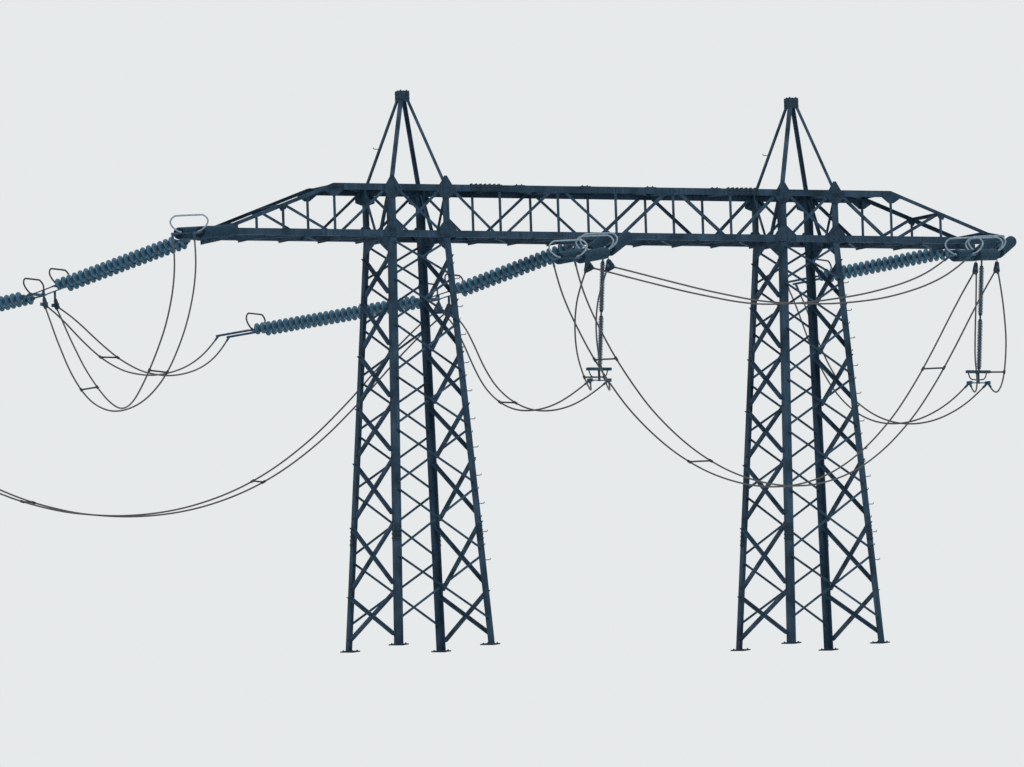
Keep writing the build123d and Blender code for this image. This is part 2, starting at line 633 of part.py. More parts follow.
# Jumper pairs: two ends, how far the pair sways round in degrees and parts in height
# at mid-route, and the points between the ends, midway between the two conductors
JUMPERS = {
    "near_left_to_far_left": (
        ("near_left", "terminal"), ("far_left", "clamp"), -25, 45,
        [
            (-12310, -5090, 7720), (-12300, -4960, 7190), (-12270, -4670, 6730), (-12230, -4300, 6330),
            (-12190, -3880, 5990), (-12140, -3430, 5690), (-12080, -2950, 5440), (-12020, -2450, 5240),
            (-11960, -1930, 5080), (-11900, -1400, 4990), (-11840, -860, 4960), (-11780, -320, 5000),
            (-11720, 210, 5120), (-11660, 720, 5290), (-11610, 1210, 5530), (-11560, 1680, 5810),
            (-11520, 2120, 6130), (-11470, 2530, 6470), (-11430, 2940, 6840), (-11380, 3330, 7210),
        ],
    ),
    "far_left_to_far_middle": (
        ("far_left", "clamp"), ("far_middle", "terminal"), -28, 0,
        [
            (-10910, 4040, 7420), (-10500, 4340, 7220), (-10090, 4640, 6990), (-9680, 4940, 6780),
            (-9270, 5250, 6600), (-8840, 5560, 6460), (-8400, 5880, 6360), (-7960, 6200, 6330),
            (-7520, 6530, 6330), (-7080, 6850, 6380), (-6640, 7170, 6470), (-6210, 7490, 6600),
            (-5790, 7800, 6790), (-5400, 8090, 7040),
        ],
    ),
    "far_middle_to_far_left": (
        ("far_middle", "clamp"), ("far_left", "terminal"), 0, 0,
        [
            (-2380, 3860, 7230), (-2750, 4000, 6860), (-3110, 4130, 6480), (-3450, 4260, 6090),
            (-3790, 4400, 5690), (-4150, 4530, 5310), (-4510, 4680, 4940), (-4900, 4820, 4600),
            (-5310, 4980, 4280), (-5740, 5140, 4000), (-6200, 5300, 3760), (-6670, 5470, 3570),
            (-7160, 5650, 3420), (-7660, 5820, 3320), (-8160, 6010, 3270), (-8670, 6190, 3260),
            (-9170, 6380, 3300), (-9670, 6570, 3370), (-10160, 6760, 3500), (-10640, 6940, 3660),
            (-11100, 7130, 3870), (-11550, 7310, 4110), (-11970, 7480, 4390), (-12380, 7650, 4700),
            (-12770, 7800, 5040), (-13130, 7940, 5410), (-13470, 8070, 5810), (-13790, 8180, 6230),
            (-14090, 8260, 6670),
        ],
    ),
    "far_middle_to_hanging_middle": (
        ("far_middle", "clamp"), ("middle", "far"), 0, 0,
        [
            (-1820, 3360, 7210), (-1700, 3130, 6730), (-1600, 2920, 6250), (-1470, 2660, 5790),
            (-1300, 2290, 5440), (-1100, 1840, 5220), (-870, 1350, 5170), (-630, 880, 5250),
            (-410, 430, 5450),
        ],
    ),
    "hanging_middle_to_near_middle": (
        ("middle", "near"), ("near_middle", "clamp"), 0, 0,
        [
            (-350, -330, 5500), (-580, -750, 5430), (-880, -1170, 5550), (-1200, -1600, 5790),
            (-1510, -2040, 6080), (-1780, -2490, 6420), (-1990, -2920, 6820),
            (-2100, -3310, 7270),
        ],
    ),
    "near_middle_to_near_right": (
        ("near_middle", "clamp"), ("near_right", "terminal"), -28, 0,
        [
            (-1650, -4040, 7640), (-1230, -4340, 7480), (-830, -4640, 7330), (-420, -4940, 7180),
            (-10, -5240, 7050), (410, -5550, 6920), (830, -5860, 6840), (1260, -6180, 6810),
            (1690, -6500, 6800), (2120, -6810, 6830), (2550, -7130, 6880), (2970, -7440, 6980),
            (3380, -7750, 7120), (3780, -8040, 7340),
        ],
    ),
    "near_middle_to_right_clamp": (
        ("near_middle", "terminal"), ("near_right", "clamp"), 0, 0,
        [
            (-5070, -8220, 6980), (-4840, -8140, 6500), (-4560, -8050, 6050), (-4260, -7940, 5620),
            (-3930, -7820, 5220), (-3570, -7680, 4840), (-3200, -7530, 4490), (-2790, -7380, 4170),
            (-2370, -7220, 3890), (-1930, -7050, 3640), (-1470, -6880, 3430), (-990, -6710, 3250),
            (-500, -6540, 3120), (0, -6360, 3030), (500, -6190, 2980), (1000, -6010, 2980),
            (1510, -5830, 3020), (2000, -5660, 3120), (2490, -5490, 3260), (2960, -5320, 3460),
            (3410, -5150, 3700), (3840, -4990, 3980), (4240, -4840, 4290), (4630, -4700, 4630),
            (4990, -4560, 5000), (5340, -4430, 5390), (5670, -4300, 5790), (5990, -4180, 6200),
            (6300, -4070, 6620), (6620, -3950, 7040), (6940, -3840, 7450),
        ],
    ),
    "far_right_to_hanging_right": (
        ("far_right", "terminal"), ("right", "far"), 0, 0,
        [
            (7000, 4220, 7800), (7080, 4050, 7310), (7170, 3870, 6810), (7280, 3660, 6330),
            (7410, 3390, 5890), (7570, 3060, 5510), (7760, 2670, 5210), (7980, 2220, 5020),
            (8210, 1740, 4960), (8440, 1270, 5010), (8670, 810, 5170), (8880, 390, 5410),
        ],
    ),
    "hanging_right_to_near_right": (
        ("right", "near"), ("near_right", "clamp"), 0, 0,
        [
            (9000, -350, 5460), (8860, -850, 5520), (8650, -1350, 5770), (8370, -1850, 6080),
            (8080, -2380, 6440), (7770, -2880, 6850), (7500, -3320, 7330),
        ],
    ),
}
# Share by which a pair parts further than its strings at the middle of its route
PARTING = {"hanging_right_to_near_right": 0.5}


def conductor(jumper, side):
    """Points of one conductor of a pair, stub ends included: the middle route moved
    sideways by an offset that turns from one end's direction to the other's."""
    start, end, sway, sink, middle = JUMPERS[jumper]
    (first, across), (last, across_last) = ENDS[start], ENDS[end]
    centres = [first] + [Vector(*p) for p in middle] + [last]
    angle = degrees(atan2(across.Y, across.X))
    turn = (degrees(atan2(across_last.Y, across_last.X)) - angle + 180) % 360 - 180
    points = []
    for i, centre in enumerate(centres):
        t = i / (len(centres) - 1)
        eased = min(max((t - TURN_START) / TURN_SHARE, 0), 1)
        eased *= eased * (3 - 2 * eased)
        swing = sin(pi * t)
        a = radians(angle + turn * eased + sway * swing)
        reach = STRING_GAP / 2 * (1 + PARTING.get(jumper, 0) * swing)
        offset = Vector(cos(a) * reach, sin(a) * reach, -sink * swing)
        points.append(centre + offset * side)
    return points


def stub(points):
    """Clamp barrel on a conductor's first run, as long as STUB."""
    rod(points[0], points[1] - points[0], CLAMP_RADIUS, STUB, BARREL_SIDES)


def end_stubs(place):
    """The barrels of every conductor that ends at a place."""
    for jumper, (start, end, *rest) in JUMPERS.items():
        for s in (-1, 1):
            points = conductor(jumper, s)
            if start == place:
                stub(points)
            if end == place:
                stub(points[::-1])


for name, (face, x, link, slopes, counts) in SETS.items():
    sy = FACES[face]
    inner, node, outer, live = PLANES[name]
    start = link + YOKE_LENGTH
    with BuildPart() as discs:
        string_pair(inner, start, counts[0])
        if len(counts) == 2:
            string_pair(outer, OUTER_LINK, counts[1])
    finish(discs.part, f"{name}_insulators")

    half = STRING_GAP / 2 + LINK_WIDTH
    with BuildPart() as fittings:
        seat = PLATE_THICK if x else 0
        lug_plane = Plane(inner.origin - Vector(0, 0, YOKE_THICK / 2))
        with BuildSketch(lug_plane) as lug:
            with Locations((0, sy * (seat - LUG_REACH) / 2)):
                Rectangle(2 * LINK_WIDTH, LUG_REACH - seat)
        extrude(lug.sketch, amount=YOKE_THICK)
        bar(inner, 0, 0, LINK_WIDTH, YOKE_THICK, 0, link)
        flat = Plane(
            origin=inner.origin - inner.y_dir * (YOKE_THICK / 2),
            x_dir=inner.x_dir, z_dir=inner.y_dir,
        )
        tip = -1 if flat.y_dir.dot(inner.z_dir) < 0 else 1
        plate(
            flat,
            [
                (-LINK_WIDTH, tip * (link - YOKE_SIDE)), (LINK_WIDTH, tip * (link - YOKE_SIDE)),
                (half, tip * (start - YOKE_SIDE)), (half, tip * start),
                (-half, tip * start), (-half, tip * (start - YOKE_SIDE)),
            ],
            YOKE_THICK,
        )
        if len(counts) == 2:
            bar(node, 0, 0, 2 * half, YOKE_THICK, SEAT_GAP, YOKE_BAR)
            bar(node, 0, 0, 2 * half, YOKE_THICK, MID_NODE - YOKE_BAR, MID_NODE)
            centre, across = ENDS[name, "clamp"]
            for s in (-1, 1):
                side = s * STRING_GAP / 2
                bar(node, side, 0, LINK_WIDTH, YOKE_THICK, SEAT_GAP, MID_NODE)
                bar(outer, side, 0, LINK_SIZE, LINK_SIZE, -YOKE_SIDE, OUTER_LINK)
                bar(live, side, 0, LINK_SIZE, LINK_SIZE, -LIVE_LINK, YOKE_SIDE)
                hang = Plane(centre + across * side, x_dir=across, z_dir=(0, 0, 1))
                bar(hang, 0, 0, YOKE_THICK, LINK_WIDTH, 0, CLAMP_DROP)
                bar(
                    hang, 0, 0, CLAMP_WIDTH, CLAMP_LENGTH,
                    -CLAMP_HEIGHT / 2, CLAMP_HEIGHT / 2,
                )
            end_stubs((name, "clamp"))
        bar(live, 0, 0, 2 * half, YOKE_THICK, 0, YOKE_BAR)
        for s in (-1, 1):
            side = s * STRING_GAP / 2
            foot = live.offset(YOKE_BAR - YOKE_SIDE).origin + live.x_dir * side
            length = LIVE_REACH + CLAMP_WIDTH - YOKE_BAR + YOKE_SIDE
            rod(foot, live.z_dir, CLAMP_RADIUS, length, BARREL_SIDES)
        end_stubs((name, "terminal"))
    finish(fittings.part, f"{name}_fittings")

# Hanging sets: rod units one above the other, then a yoke along the beam, and a stub
# with a clamp at each end of its cross bar
for name, x in HANG_TOPS.items():
    centre, across = ENDS[name, "near"]
    top = Vector(x, 0, BEAM_BOTTOM - HANGER_SIZE)
    down = (centre - top).normalized()
    string = Plane(origin=top, x_dir=(0, 1, 0), z_dir=down)
    first = HANG_LINK
    second = first + ROD_LENGTH + ROD_GAP
    foot = second + ROD_LENGTH
    with BuildPart() as rods:
        for start in (first, second):
            rod(string.offset(start).origin, down, ROD_RADIUS, ROD_LENGTH, ROD_SIDES)
    finish(rods.part, f"hanging_{name}_rods")

    with BuildPart() as fittings:
        bar(string, 0, 0, LINK_SIZE, LINK_SIZE, 0, first)
        bar(string, 0, 0, LINK_SIZE, LINK_SIZE, first + ROD_LENGTH, second)
        reach = (centre - top).length
        bar(string, 0, 0, LINK_SIZE, LINK_SIZE, foot, reach - YOKE_RISE)
        level = Plane(centre, x_dir=(1, 0, 0), z_dir=(0, 0, 1))
        low, high = YOKE_RISE - HANG_YOKE / 2, YOKE_RISE + HANG_YOKE / 2
        bar(level, 0, 0, HANG_YOKE_LENGTH, HANG_YOKE_DEPTH, low, high)
        bar(level, 0, 0, STUB_SIDE, STUB_SIDE, -STUB_SIDE / 2, low)
        bar(level, 0, 0, STRING_GAP, CROSS_BAR, -CROSS_BAR / 2, CROSS_BAR / 2)
        for s in (-1, 1):
            side = centre + Vector(s * STRING_GAP / 2, 0, 0)
            hang = Plane(side, x_dir=(1, 0, 0), z_dir=(0, 0, 1))
            bar(hang, 0, 0, CLAMP_WIDTH, CLAMP_LENGTH, -CLAMP_HEIGHT / 2, CLAMP_HEIGHT / 2)
        end_stubs((name, "near"))
        end_stubs((name, "far"))
    finish(fittings.part, f"hanging_{name}_fittings")

# Arcing rings: bent bars that stand on the yokes, and one hung under each hanging yoke
with BuildPart() as rings:
    seat = [(x, y + YOKE_THICK / 2) for x, y in RING_LINE]
    for name, (face, x, link, slopes, counts) in SETS.items():
        inner, node, outer, live = PLANES[name]
        bent_bar(live, seat)
        if len(counts) == 2:
            bent_bar(node.offset(RING_GAP), seat)
            bent_bar(node.offset(MID_NODE - RING_BAR), seat)
    for name in HANG_TOPS:
        centre, across = ENDS[name, "near"]
        under = centre + UP * (YOKE_RISE - HANG_YOKE / 2)
        under += ACROSS * HANG_YOKE_DEPTH / 2
        upright = Plane(under, x_dir=(1, 0, 0), z_dir=(0, -1, 0))
        down = -1 if upright.y_dir.Z > 0 else 1
        bent_bar(upright, [(x, down * y) for x, y in HOOP_LINE])
finish(rings.part, "arcing_rings")

# Jumper conductors: straight runs joined by arcs as large as the runs allow, from
# barrel to barrel, as square tubes of the round cable's area
CABLE_SIDE = CONDUCTOR * sqrt(pi) / 2
for jumper in JUMPERS:
    with BuildPart() as pair:
        for s in (-1, 1):
            points = conductor(jumper, s)
            points[0] += (points[1] - points[0]).normalized() * STUB
            points[-1] += (points[-2] - points[-1]).normalized() * STUB
            runs = [b - a for a, b in zip(points, points[1:])]
            radii = [
                0.45 * min(a.length, b.length) / tan(radians(a.get_angle(b) / 2))
                for a, b in zip(runs, runs[1:])
            ]
            with BuildLine() as path:
                FilletPolyline(*points, radius=radii)
            with BuildSketch(Plane(origin=points[0], z_dir=runs[0])) as section:
                Rectangle(CABLE_SIDE, CABLE_SIDE)
            sweep(section.sketch, path=path.wire())
            length = path.wire().length
            print(
                f"{jumper}: {length:.0f} mm, radii {min(radii):.0f} to {max(radii):.0f},",
                f"section x length {section.sketch.area * length / 1e9:.5f} m3",
            )
    finish(pair.part, f"jumper_{jumper}")
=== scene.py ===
"""Lattice pylon, dressed: jumper conductors, glass discs, rod sheds, arcing rings,
bolts, splices and weathered zinc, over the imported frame. Metres, +Z up."""

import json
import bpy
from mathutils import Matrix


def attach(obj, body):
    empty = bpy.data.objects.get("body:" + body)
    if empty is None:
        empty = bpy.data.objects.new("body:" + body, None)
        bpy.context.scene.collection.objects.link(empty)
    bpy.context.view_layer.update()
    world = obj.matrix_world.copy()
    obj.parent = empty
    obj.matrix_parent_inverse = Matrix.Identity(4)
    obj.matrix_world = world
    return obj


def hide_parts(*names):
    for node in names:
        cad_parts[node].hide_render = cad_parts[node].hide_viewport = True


bl_info = {
    "name": "Lattice Pylon Dressing",
    "version": (1, 0, 0),
    "blender": (4, 5, 0),
    "location": "View3D > Sidebar > Pylon",
    "description": "Dresses a portal pylon's frame with its strings, jumpers and finishes",
    "category": "Object",
}

from itertools import product
from math import atan2, cos, degrees, pi, radians, sin

import bmesh
import bpy
from bpy.props import FloatProperty, FloatVectorProperty, IntProperty, PointerProperty
from mathutils import Matrix, Vector

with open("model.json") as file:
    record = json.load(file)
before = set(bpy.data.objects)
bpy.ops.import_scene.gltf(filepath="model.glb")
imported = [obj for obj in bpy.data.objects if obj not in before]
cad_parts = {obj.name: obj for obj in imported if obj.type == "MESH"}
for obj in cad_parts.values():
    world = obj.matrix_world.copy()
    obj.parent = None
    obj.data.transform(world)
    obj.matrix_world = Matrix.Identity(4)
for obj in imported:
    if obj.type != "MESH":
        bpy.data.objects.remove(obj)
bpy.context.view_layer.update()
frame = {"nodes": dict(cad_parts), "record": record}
NODES = frame["nodes"]
BODY = "root"

# Masts and beam, as the frame has them
MAST_SPACING = 9.36
HALF_X = 0.7075
HALF_Y = 0.65
BATTER_X = 0.0512
BATTER_Y = 0.0675
LEG_SIZE = 0.15
FOOT_THICK = 0.025
ANCHOR_SPACING = 0.22
BRACE_THICK = 0.006
SIDE_TOP = 8.39
SIDE_PANELS = (0.94, 1.11, 1.11, 1.15, 1.35, 1.49, 1.06)
FACE_TOP = 8.64
FACE_PANELS = (0.8, 0.96, 1.11, 1.13, 1.25, 1.42, 1.48)
PANEL_FILL = 0.9
BEAM_BOTTOM = 8.685
BEAM_TOP = 9.805
CHORD_SIZE = 0.14
CHORD_THICK = 0.012
CHORD_Y = HALF_Y + CHORD_THICK
KNEE_X = 6.68
SLOPE_END_X = 9.05
SLOPE_END_Z = 8.93
POST_PITCH = 1.384
ARM_POST = 7.89
WEB_INSET = 0.075
PLATE_THICK = 0.008
PEAK_TOP = 11.63
HEAD_SIZE = 0.23
HEAD_HEIGHT = 0.22
MASTS = {"left": -MAST_SPACING / 2, "right": MAST_SPACING / 2}
FACES = {"near": -1, "far": 1}
WAYS = [Vector(way) for way in ((1, 0, 0), (0, 1, 0), (-1, 0, 0), (0, -1, 0))]
UP = Vector((0, 0, 1))

# Tension sets
LINE_ANGLE = {"near": radians(34.7), "far": radians(33.5)}
SET_X = 9.35
STRING_GAP = 0.45
PIN_RISE = 0.06
LUG_REACH = 0.07
SHORT_LINK = 0.13
LONG_LINK = 0.4
YOKE_LENGTH = 0.15
MID_NODE = 0.7
OUTER_LINK = 0.18
LIVE_LINK = 0.1
LIVE_REACH = 0.85
CLAMP_DROP = 0.3
STUB = 0.16
SHORT_DISCS = 21
LONG_DISCS = 28
YOKE_THICK = 0.016
RING_GAP = 0.006
RING_BAR = 0.024
RING_LINE = (
    (0.165, 0), (0.231, 0.03), (0.297, 0.077), (0.362, 0.143), (0.395, 0.225), (0.38, 0.275),
    (0.345, 0.32), (0.295, 0.348), (0.24, 0.357),
)
BOTH = (SHORT_DISCS, LONG_DISCS)
SETS = {
    "far_left": ("far", -SET_X, SHORT_LINK, (0.24, 0.25, 0.13), BOTH),
    "far_middle": ("far", 0, SHORT_LINK, (0.25, 0.21, 0.082), BOTH),
    "far_right": ("far", SET_X, LONG_LINK, (0.105,), (SHORT_DISCS,)),
    "near_left": ("near", -SET_X, SHORT_LINK, (0.095,), (LONG_DISCS,)),
    "near_middle": ("near", 0, SHORT_LINK, (0.18, 0.16, 0.107), BOTH),
    "near_right": ("near", SET_X, SHORT_LINK, (0.165, 0.14, 0.085), BOTH),
}

# Hanging sets
HANGER_X = 9.25
HANGER_SIZE = 0.1
HANG_TOPS = {"middle": 0, "right": HANGER_X}
HANG_LEAN = 0.2
HANG_CLAMP_Z = 5.72
HANG_LINK = 0.315
ROD_LENGTH = 1.09
ROD_GAP = 0.08
HANG_YOKE = 0.06
YOKE_RISE = 0.24
HOOP_LINE = ((0.22, 0), (0.2, 0.07), (0.13, 0.135))
HOOP_Y = 0.038
ROD_ENDS = 0.04

# Disc profiles, as radius and height in shares of a disc's radius and pitch
DISC_SHELL = ((0.36, 0.4), (0.7, 0.5), (0.94, 0.59), (1, 0.68), (0.96, 0.72), (0.36, 0.4))
DISC_LIP = ((0.4, 0.43), (0.96, 0.71), (0.99, 0.71), (0.97, 0.82), (0.88, 0.84), (0.4, 0.43))
DISC_CAP = ((0, 0), (0.3, 0), (0.42, 0.2), (0.38, 0.46), (0.13, 0.66), (0.12, 1.02), (0, 1.02))
DISC_SIDES, CAP_SIDES = 14, 9

# Rod profiles, as radius and height, the shed's height in shares of its pitch
SHED = ((0, 0), (0.032, 0), (0.058, 0.3), (0.058, 0.62), (0.032, 0.85), (0.032, 1), (0, 1))
ROD_END = ((0, 0), (0.03, 0), (0.04, 0.01), (0.038, 0.045), (0.024, 0.06), (0, 0.06))
ROD_SIDES = 12

# Round bars, as radius and sides, and their lengths
RING_BARREL, RING_SOCKET, RING_NUT = (0.018, 10), (0.025, 8), (0.03, 6)
SOCKET_LENGTH = 0.06
RING_NUT_SPAN = (0.02, 0.035)
HOOP_BARREL = (0.014, 8)
STEP_BARREL, STEP_NUT = (0.009, 6), (0.018, 6)
STEP_LINE = ((0, 0, 0), (0.12, 0, 0), (0.138, 0, 0.008), (0.144, 0, 0.034))
STEP_NUT_LENGTH = 0.016
STEP_INSET_SHARE = 0.35
SPACER_BARREL = (0.018, 8)
SPACER_CLAMP = 0.045
SPACER_CLAMP_SHARE, SPACER_CLAMP_SIDES = 0.8, 10

# What only shows close to: step bolts, splices, clamp castings
STEP_PITCH = 0.6
STEP_LOW = 1.8
STEP_COUNT = 11
PEAK_STEP = Vector((-0.4, 0.36, 10.64))
SPLICE_Z = 2.4
SPLICE_LENGTH = 0.36
SPLICE_BOLTS, CHORD_SPLICE_BOLTS, TOP_PLATE_BOLTS = (4, 2), (7, 2), (2, 1)
CHORD_SPLICE_X = 3.08
CHORD_SPLICE_LENGTH = 0.76
SPLICE_WIDTH = 0.12
SPLICE_THICK = 0.01
TOP_PLATES = (-2.27, -0.7, 0.87, 2.43)
TOP_PLATE_LENGTH = 0.24
CASTING_REACH = 0.13
CASTING_DEPTH = 0.034
CASTING_BEVEL = 0.01
FLAT_ANGLE = radians(2)
CASTING_BOLT, CASTING_BOLT_REACH, CASTING_BOLT_DROP = (0.02, 6), 0.046, 0.03

# Bolt rows: haunches as offsets and inset, joints as place and pitch, posts as levels from below
BRACE_BOLT_START, BRACE_BOLT_PITCH = 0.03, 0.05
HAUNCH_BOLTS = (((-0.18, -0.06, 0.06, 0.18), 0.06), ((-0.05, 0.05), 0.18))
TIP_BOLTS = (9.02, 9.13, 9.24, 9.35)
CHORD_BOLT_INSET = 0.06
JOINT_BOLTS = ((KNEE_X, 0.09), (ARM_POST, 0.08))
POST_BOLT_PITCH = 0.07
POST_BOLT_LEVELS = {-2: 1, -1: 2, 0: 2, 1: 2, 2: 1}
HEAD_BOLT = 0.07
HEAD_BOLT_ROWS = (0.06, 0.15)
BOLT_HEIGHT_SHARE = 0.42
BOLT_SEED = 7
BOLT_TURN = 6.28

# Washer, head and end: sides, radius in widths across, depth and lower end in heights
BOLT_PARTS = ((10, 0.62, 0.25, -0.02), (6, 0.5, 1, 0.2), (8, 0.27, 0.7, 1.1))

# Jumper routes: two ends, sway in degrees, parting in height, and the points between
TURN_START = 0.25
TURN_SHARE = 0.5
JUMPERS = {
    "near_left_to_far_left": (
        ("near_left", "terminal"), ("far_left", "clamp"), -25, 0.045,
        [
            (-12.31, -5.09, 7.72), (-12.3, -4.96, 7.19), (-12.27, -4.67, 6.73),
            (-12.23, -4.3, 6.33), (-12.19, -3.88, 5.99), (-12.14, -3.43, 5.69),
            (-12.08, -2.95, 5.44), (-12.02, -2.45, 5.24), (-11.96, -1.93, 5.08),
            (-11.9, -1.4, 4.99), (-11.84, -0.86, 4.96), (-11.78, -0.32, 5), (-11.72, 0.21, 5.12),
            (-11.66, 0.72, 5.29), (-11.61, 1.21, 5.53), (-11.56, 1.68, 5.81), (-11.52, 2.12, 6.13),
            (-11.47, 2.53, 6.47), (-11.43, 2.94, 6.84), (-11.38, 3.33, 7.21),
        ],
    ),
    "far_left_to_far_middle": (
        ("far_left", "clamp"), ("far_middle", "terminal"), -28, 0,
        [
            (-10.91, 4.04, 7.42), (-10.5, 4.34, 7.22), (-10.09, 4.64, 6.99), (-9.68, 4.94, 6.78),
            (-9.27, 5.25, 6.6), (-8.84, 5.56, 6.46), (-8.4, 5.88, 6.36), (-7.96, 6.2, 6.33),
            (-7.52, 6.53, 6.33), (-7.08, 6.85, 6.38), (-6.64, 7.17, 6.47), (-6.21, 7.49, 6.6),
            (-5.79, 7.8, 6.79), (-5.4, 8.09, 7.04),
        ],
    ),
    "far_middle_to_far_left": (
        ("far_middle", "clamp"), ("far_left", "terminal"), 0, 0,
        [
            (-2.38, 3.86, 7.23), (-2.75, 4, 6.86), (-3.11, 4.13, 6.48), (-3.45, 4.26, 6.09),
            (-3.79, 4.4, 5.69), (-4.15, 4.53, 5.31), (-4.51, 4.68, 4.94), (-4.9, 4.82, 4.6),
            (-5.31, 4.98, 4.28), (-5.74, 5.14, 4), (-6.2, 5.3, 3.76), (-6.67, 5.47, 3.57),
            (-7.16, 5.65, 3.42), (-7.66, 5.82, 3.32), (-8.16, 6.01, 3.27), (-8.67, 6.19, 3.26),
            (-9.17, 6.38, 3.3), (-9.67, 6.57, 3.37), (-10.16, 6.76, 3.5), (-10.64, 6.94, 3.66),
            (-11.1, 7.13, 3.87), (-11.55, 7.31, 4.11), (-11.97, 7.48, 4.39), (-12.38, 7.65, 4.7),
            (-12.77, 7.8, 5.04), (-13.13, 7.94, 5.41), (-13.47, 8.07, 5.81), (-13.79, 8.18, 6.23),
            (-14.09, 8.26, 6.67),
        ],
    ),
    "far_middle_to_hanging_middle": (
        ("far_middle", "clamp"), ("middle", "far"), 0, 0,
        [
            (-1.82, 3.36, 7.21), (-1.7, 3.13, 6.73), (-1.6, 2.92, 6.25), (-1.47, 2.66, 5.79),
            (-1.3, 2.29, 5.44), (-1.1, 1.84, 5.22), (-0.87, 1.35, 5.17), (-0.63, 0.88, 5.25),
            (-0.41, 0.43, 5.45),
        ],
    ),
    "hanging_middle_to_near_middle": (
        ("middle", "near"), ("near_middle", "clamp"), 0, 0,
        [
            (-0.35, -0.33, 5.5), (-0.58, -0.75, 5.43), (-0.88, -1.17, 5.55), (-1.2, -1.6, 5.79),
            (-1.51, -2.04, 6.08), (-1.78, -2.49, 6.42), (-1.99, -2.92, 6.82), (-2.1, -3.31, 7.27),
        ],
    ),
    "near_middle_to_near_right": (
        ("near_middle", "clamp"), ("near_right", "terminal"), -28, 0,
        [
            (-1.65, -4.04, 7.64), (-1.23, -4.34, 7.48), (-0.83, -4.64, 7.33), (-0.42, -4.94, 7.18),
            (-0.01, -5.24, 7.05), (0.41, -5.55, 6.92), (0.83, -5.86, 6.84), (1.26, -6.18, 6.81),
            (1.69, -6.5, 6.8), (2.12, -6.81, 6.83), (2.55, -7.13, 6.88), (2.97, -7.44, 6.98),
            (3.38, -7.75, 7.12), (3.78, -8.04, 7.34),
        ],
    ),
    "near_middle_to_right_clamp": (
        ("near_middle", "terminal"), ("near_right", "clamp"), 0, 0,
        [
            (-5.07, -8.22, 6.98), (-4.84, -8.14, 6.5), (-4.56, -8.05, 6.05), (-4.26, -7.94, 5.62),
            (-3.93, -7.82, 5.22), (-3.57, -7.68, 4.84), (-3.2, -7.53, 4.49), (-2.79, -7.38, 4.17),
            (-2.37, -7.22, 3.89), (-1.93, -7.05, 3.64), (-1.47, -6.88, 3.43), (-0.99, -6.71, 3.25),
            (-0.5, -6.54, 3.12), (0, -6.36, 3.03), (0.5, -6.19, 2.98), (1, -6.01, 2.98),
            (1.51, -5.83, 3.02), (2, -5.66, 3.12), (2.49, -5.49, 3.26), (2.96, -5.32, 3.46),
            (3.41, -5.15, 3.7), (3.84, -4.99, 3.98), (4.24, -4.84, 4.29), (4.63, -4.7, 4.63),
            (4.99, -4.56, 5), (5.34, -4.43, 5.39), (5.67, -4.3, 5.79), (5.99, -4.18, 6.2),
            (6.3, -4.07, 6.62), (6.62, -3.95, 7.04), (6.94, -3.84, 7.45),
        ],
    ),
    "far_right_to_hanging_right": (
        ("far_right", "terminal"), ("right", "far"), 0, 0,
        [
            (7, 4.22, 7.8), (7.08, 4.05, 7.31), (7.17, 3.87, 6.81), (7.28, 3.66, 6.33),
            (7.41, 3.39, 5.89), (7.57, 3.06, 5.51), (7.76, 2.67, 5.21), (7.98, 2.22, 5.02),
            (8.21, 1.74, 4.96), (8.44, 1.27, 5.01), (8.67, 0.81, 5.17), (8.88, 0.39, 5.41),
        ],
    ),
    "hanging_right_to_near_right": (
        ("right", "near"), ("near_right", "clamp"), 0, 0,
        [
            (8.99, -0.35, 5.45), (8.83, -0.83, 5.51), (8.61, -1.33, 5.76), (8.34, -1.83, 6.07),
            (8.07, -2.36, 6.43), (7.79, -2.87, 6.85), (7.53, -3.33, 7.34),
        ],
    ),
}
PARTING = {"hanging_right_to_near_right": 0.5}
LATE_PARTING = {"near_middle_to_near_right": 0.06}

# Spacer bars, as shares of a jumper's length, and the two conductors of a pair
SPACERS = {
    "near_left_to_far_left": (0.3, 0.74), "far_left_to_far_middle": (0.33,),
    "far_middle_to_far_left": (0.34, 0.66), "far_middle_to_hanging_middle": (0.5,),
    "hanging_middle_to_near_middle": (0.37,), "near_middle_to_right_clamp": (0.127, 0.34, 0.84),
    "hanging_right_to_near_right": (0.4,),
}
TWINS = {"first": -1, "second": 1}
CORD_STEPS, CORD_ROUNDING = 4, 2
STRANDS = 18
LAY_LENGTH = 0.4
# Share of the strand colour left in the grooves between strands, as painted shade.
GROOVE_SHADE_SHARE = 0.45

# Zinc of the steel: name, shares of the clean and dull colour, patch scale, rust, metallic
STEEL_FINISHES = {
    "leg_steel": ("leg zinc", 1, 1, 1.7, 0.35, 0.25),
    "brace_steel": ("bracing zinc", 1.15, 1.1, 3, 0.25, 0.25),
    "plate_steel": ("plate zinc", 0.8, 0.9, 5, 0.4, 0.25),
    "fitting_steel": ("fitting zinc", 1.6, 1.6, 12, 0.5, 0.4),
}
SPLICE_FINISH = ("splice zinc", 0.6, 0.8, 6, 0.4, 0.25)

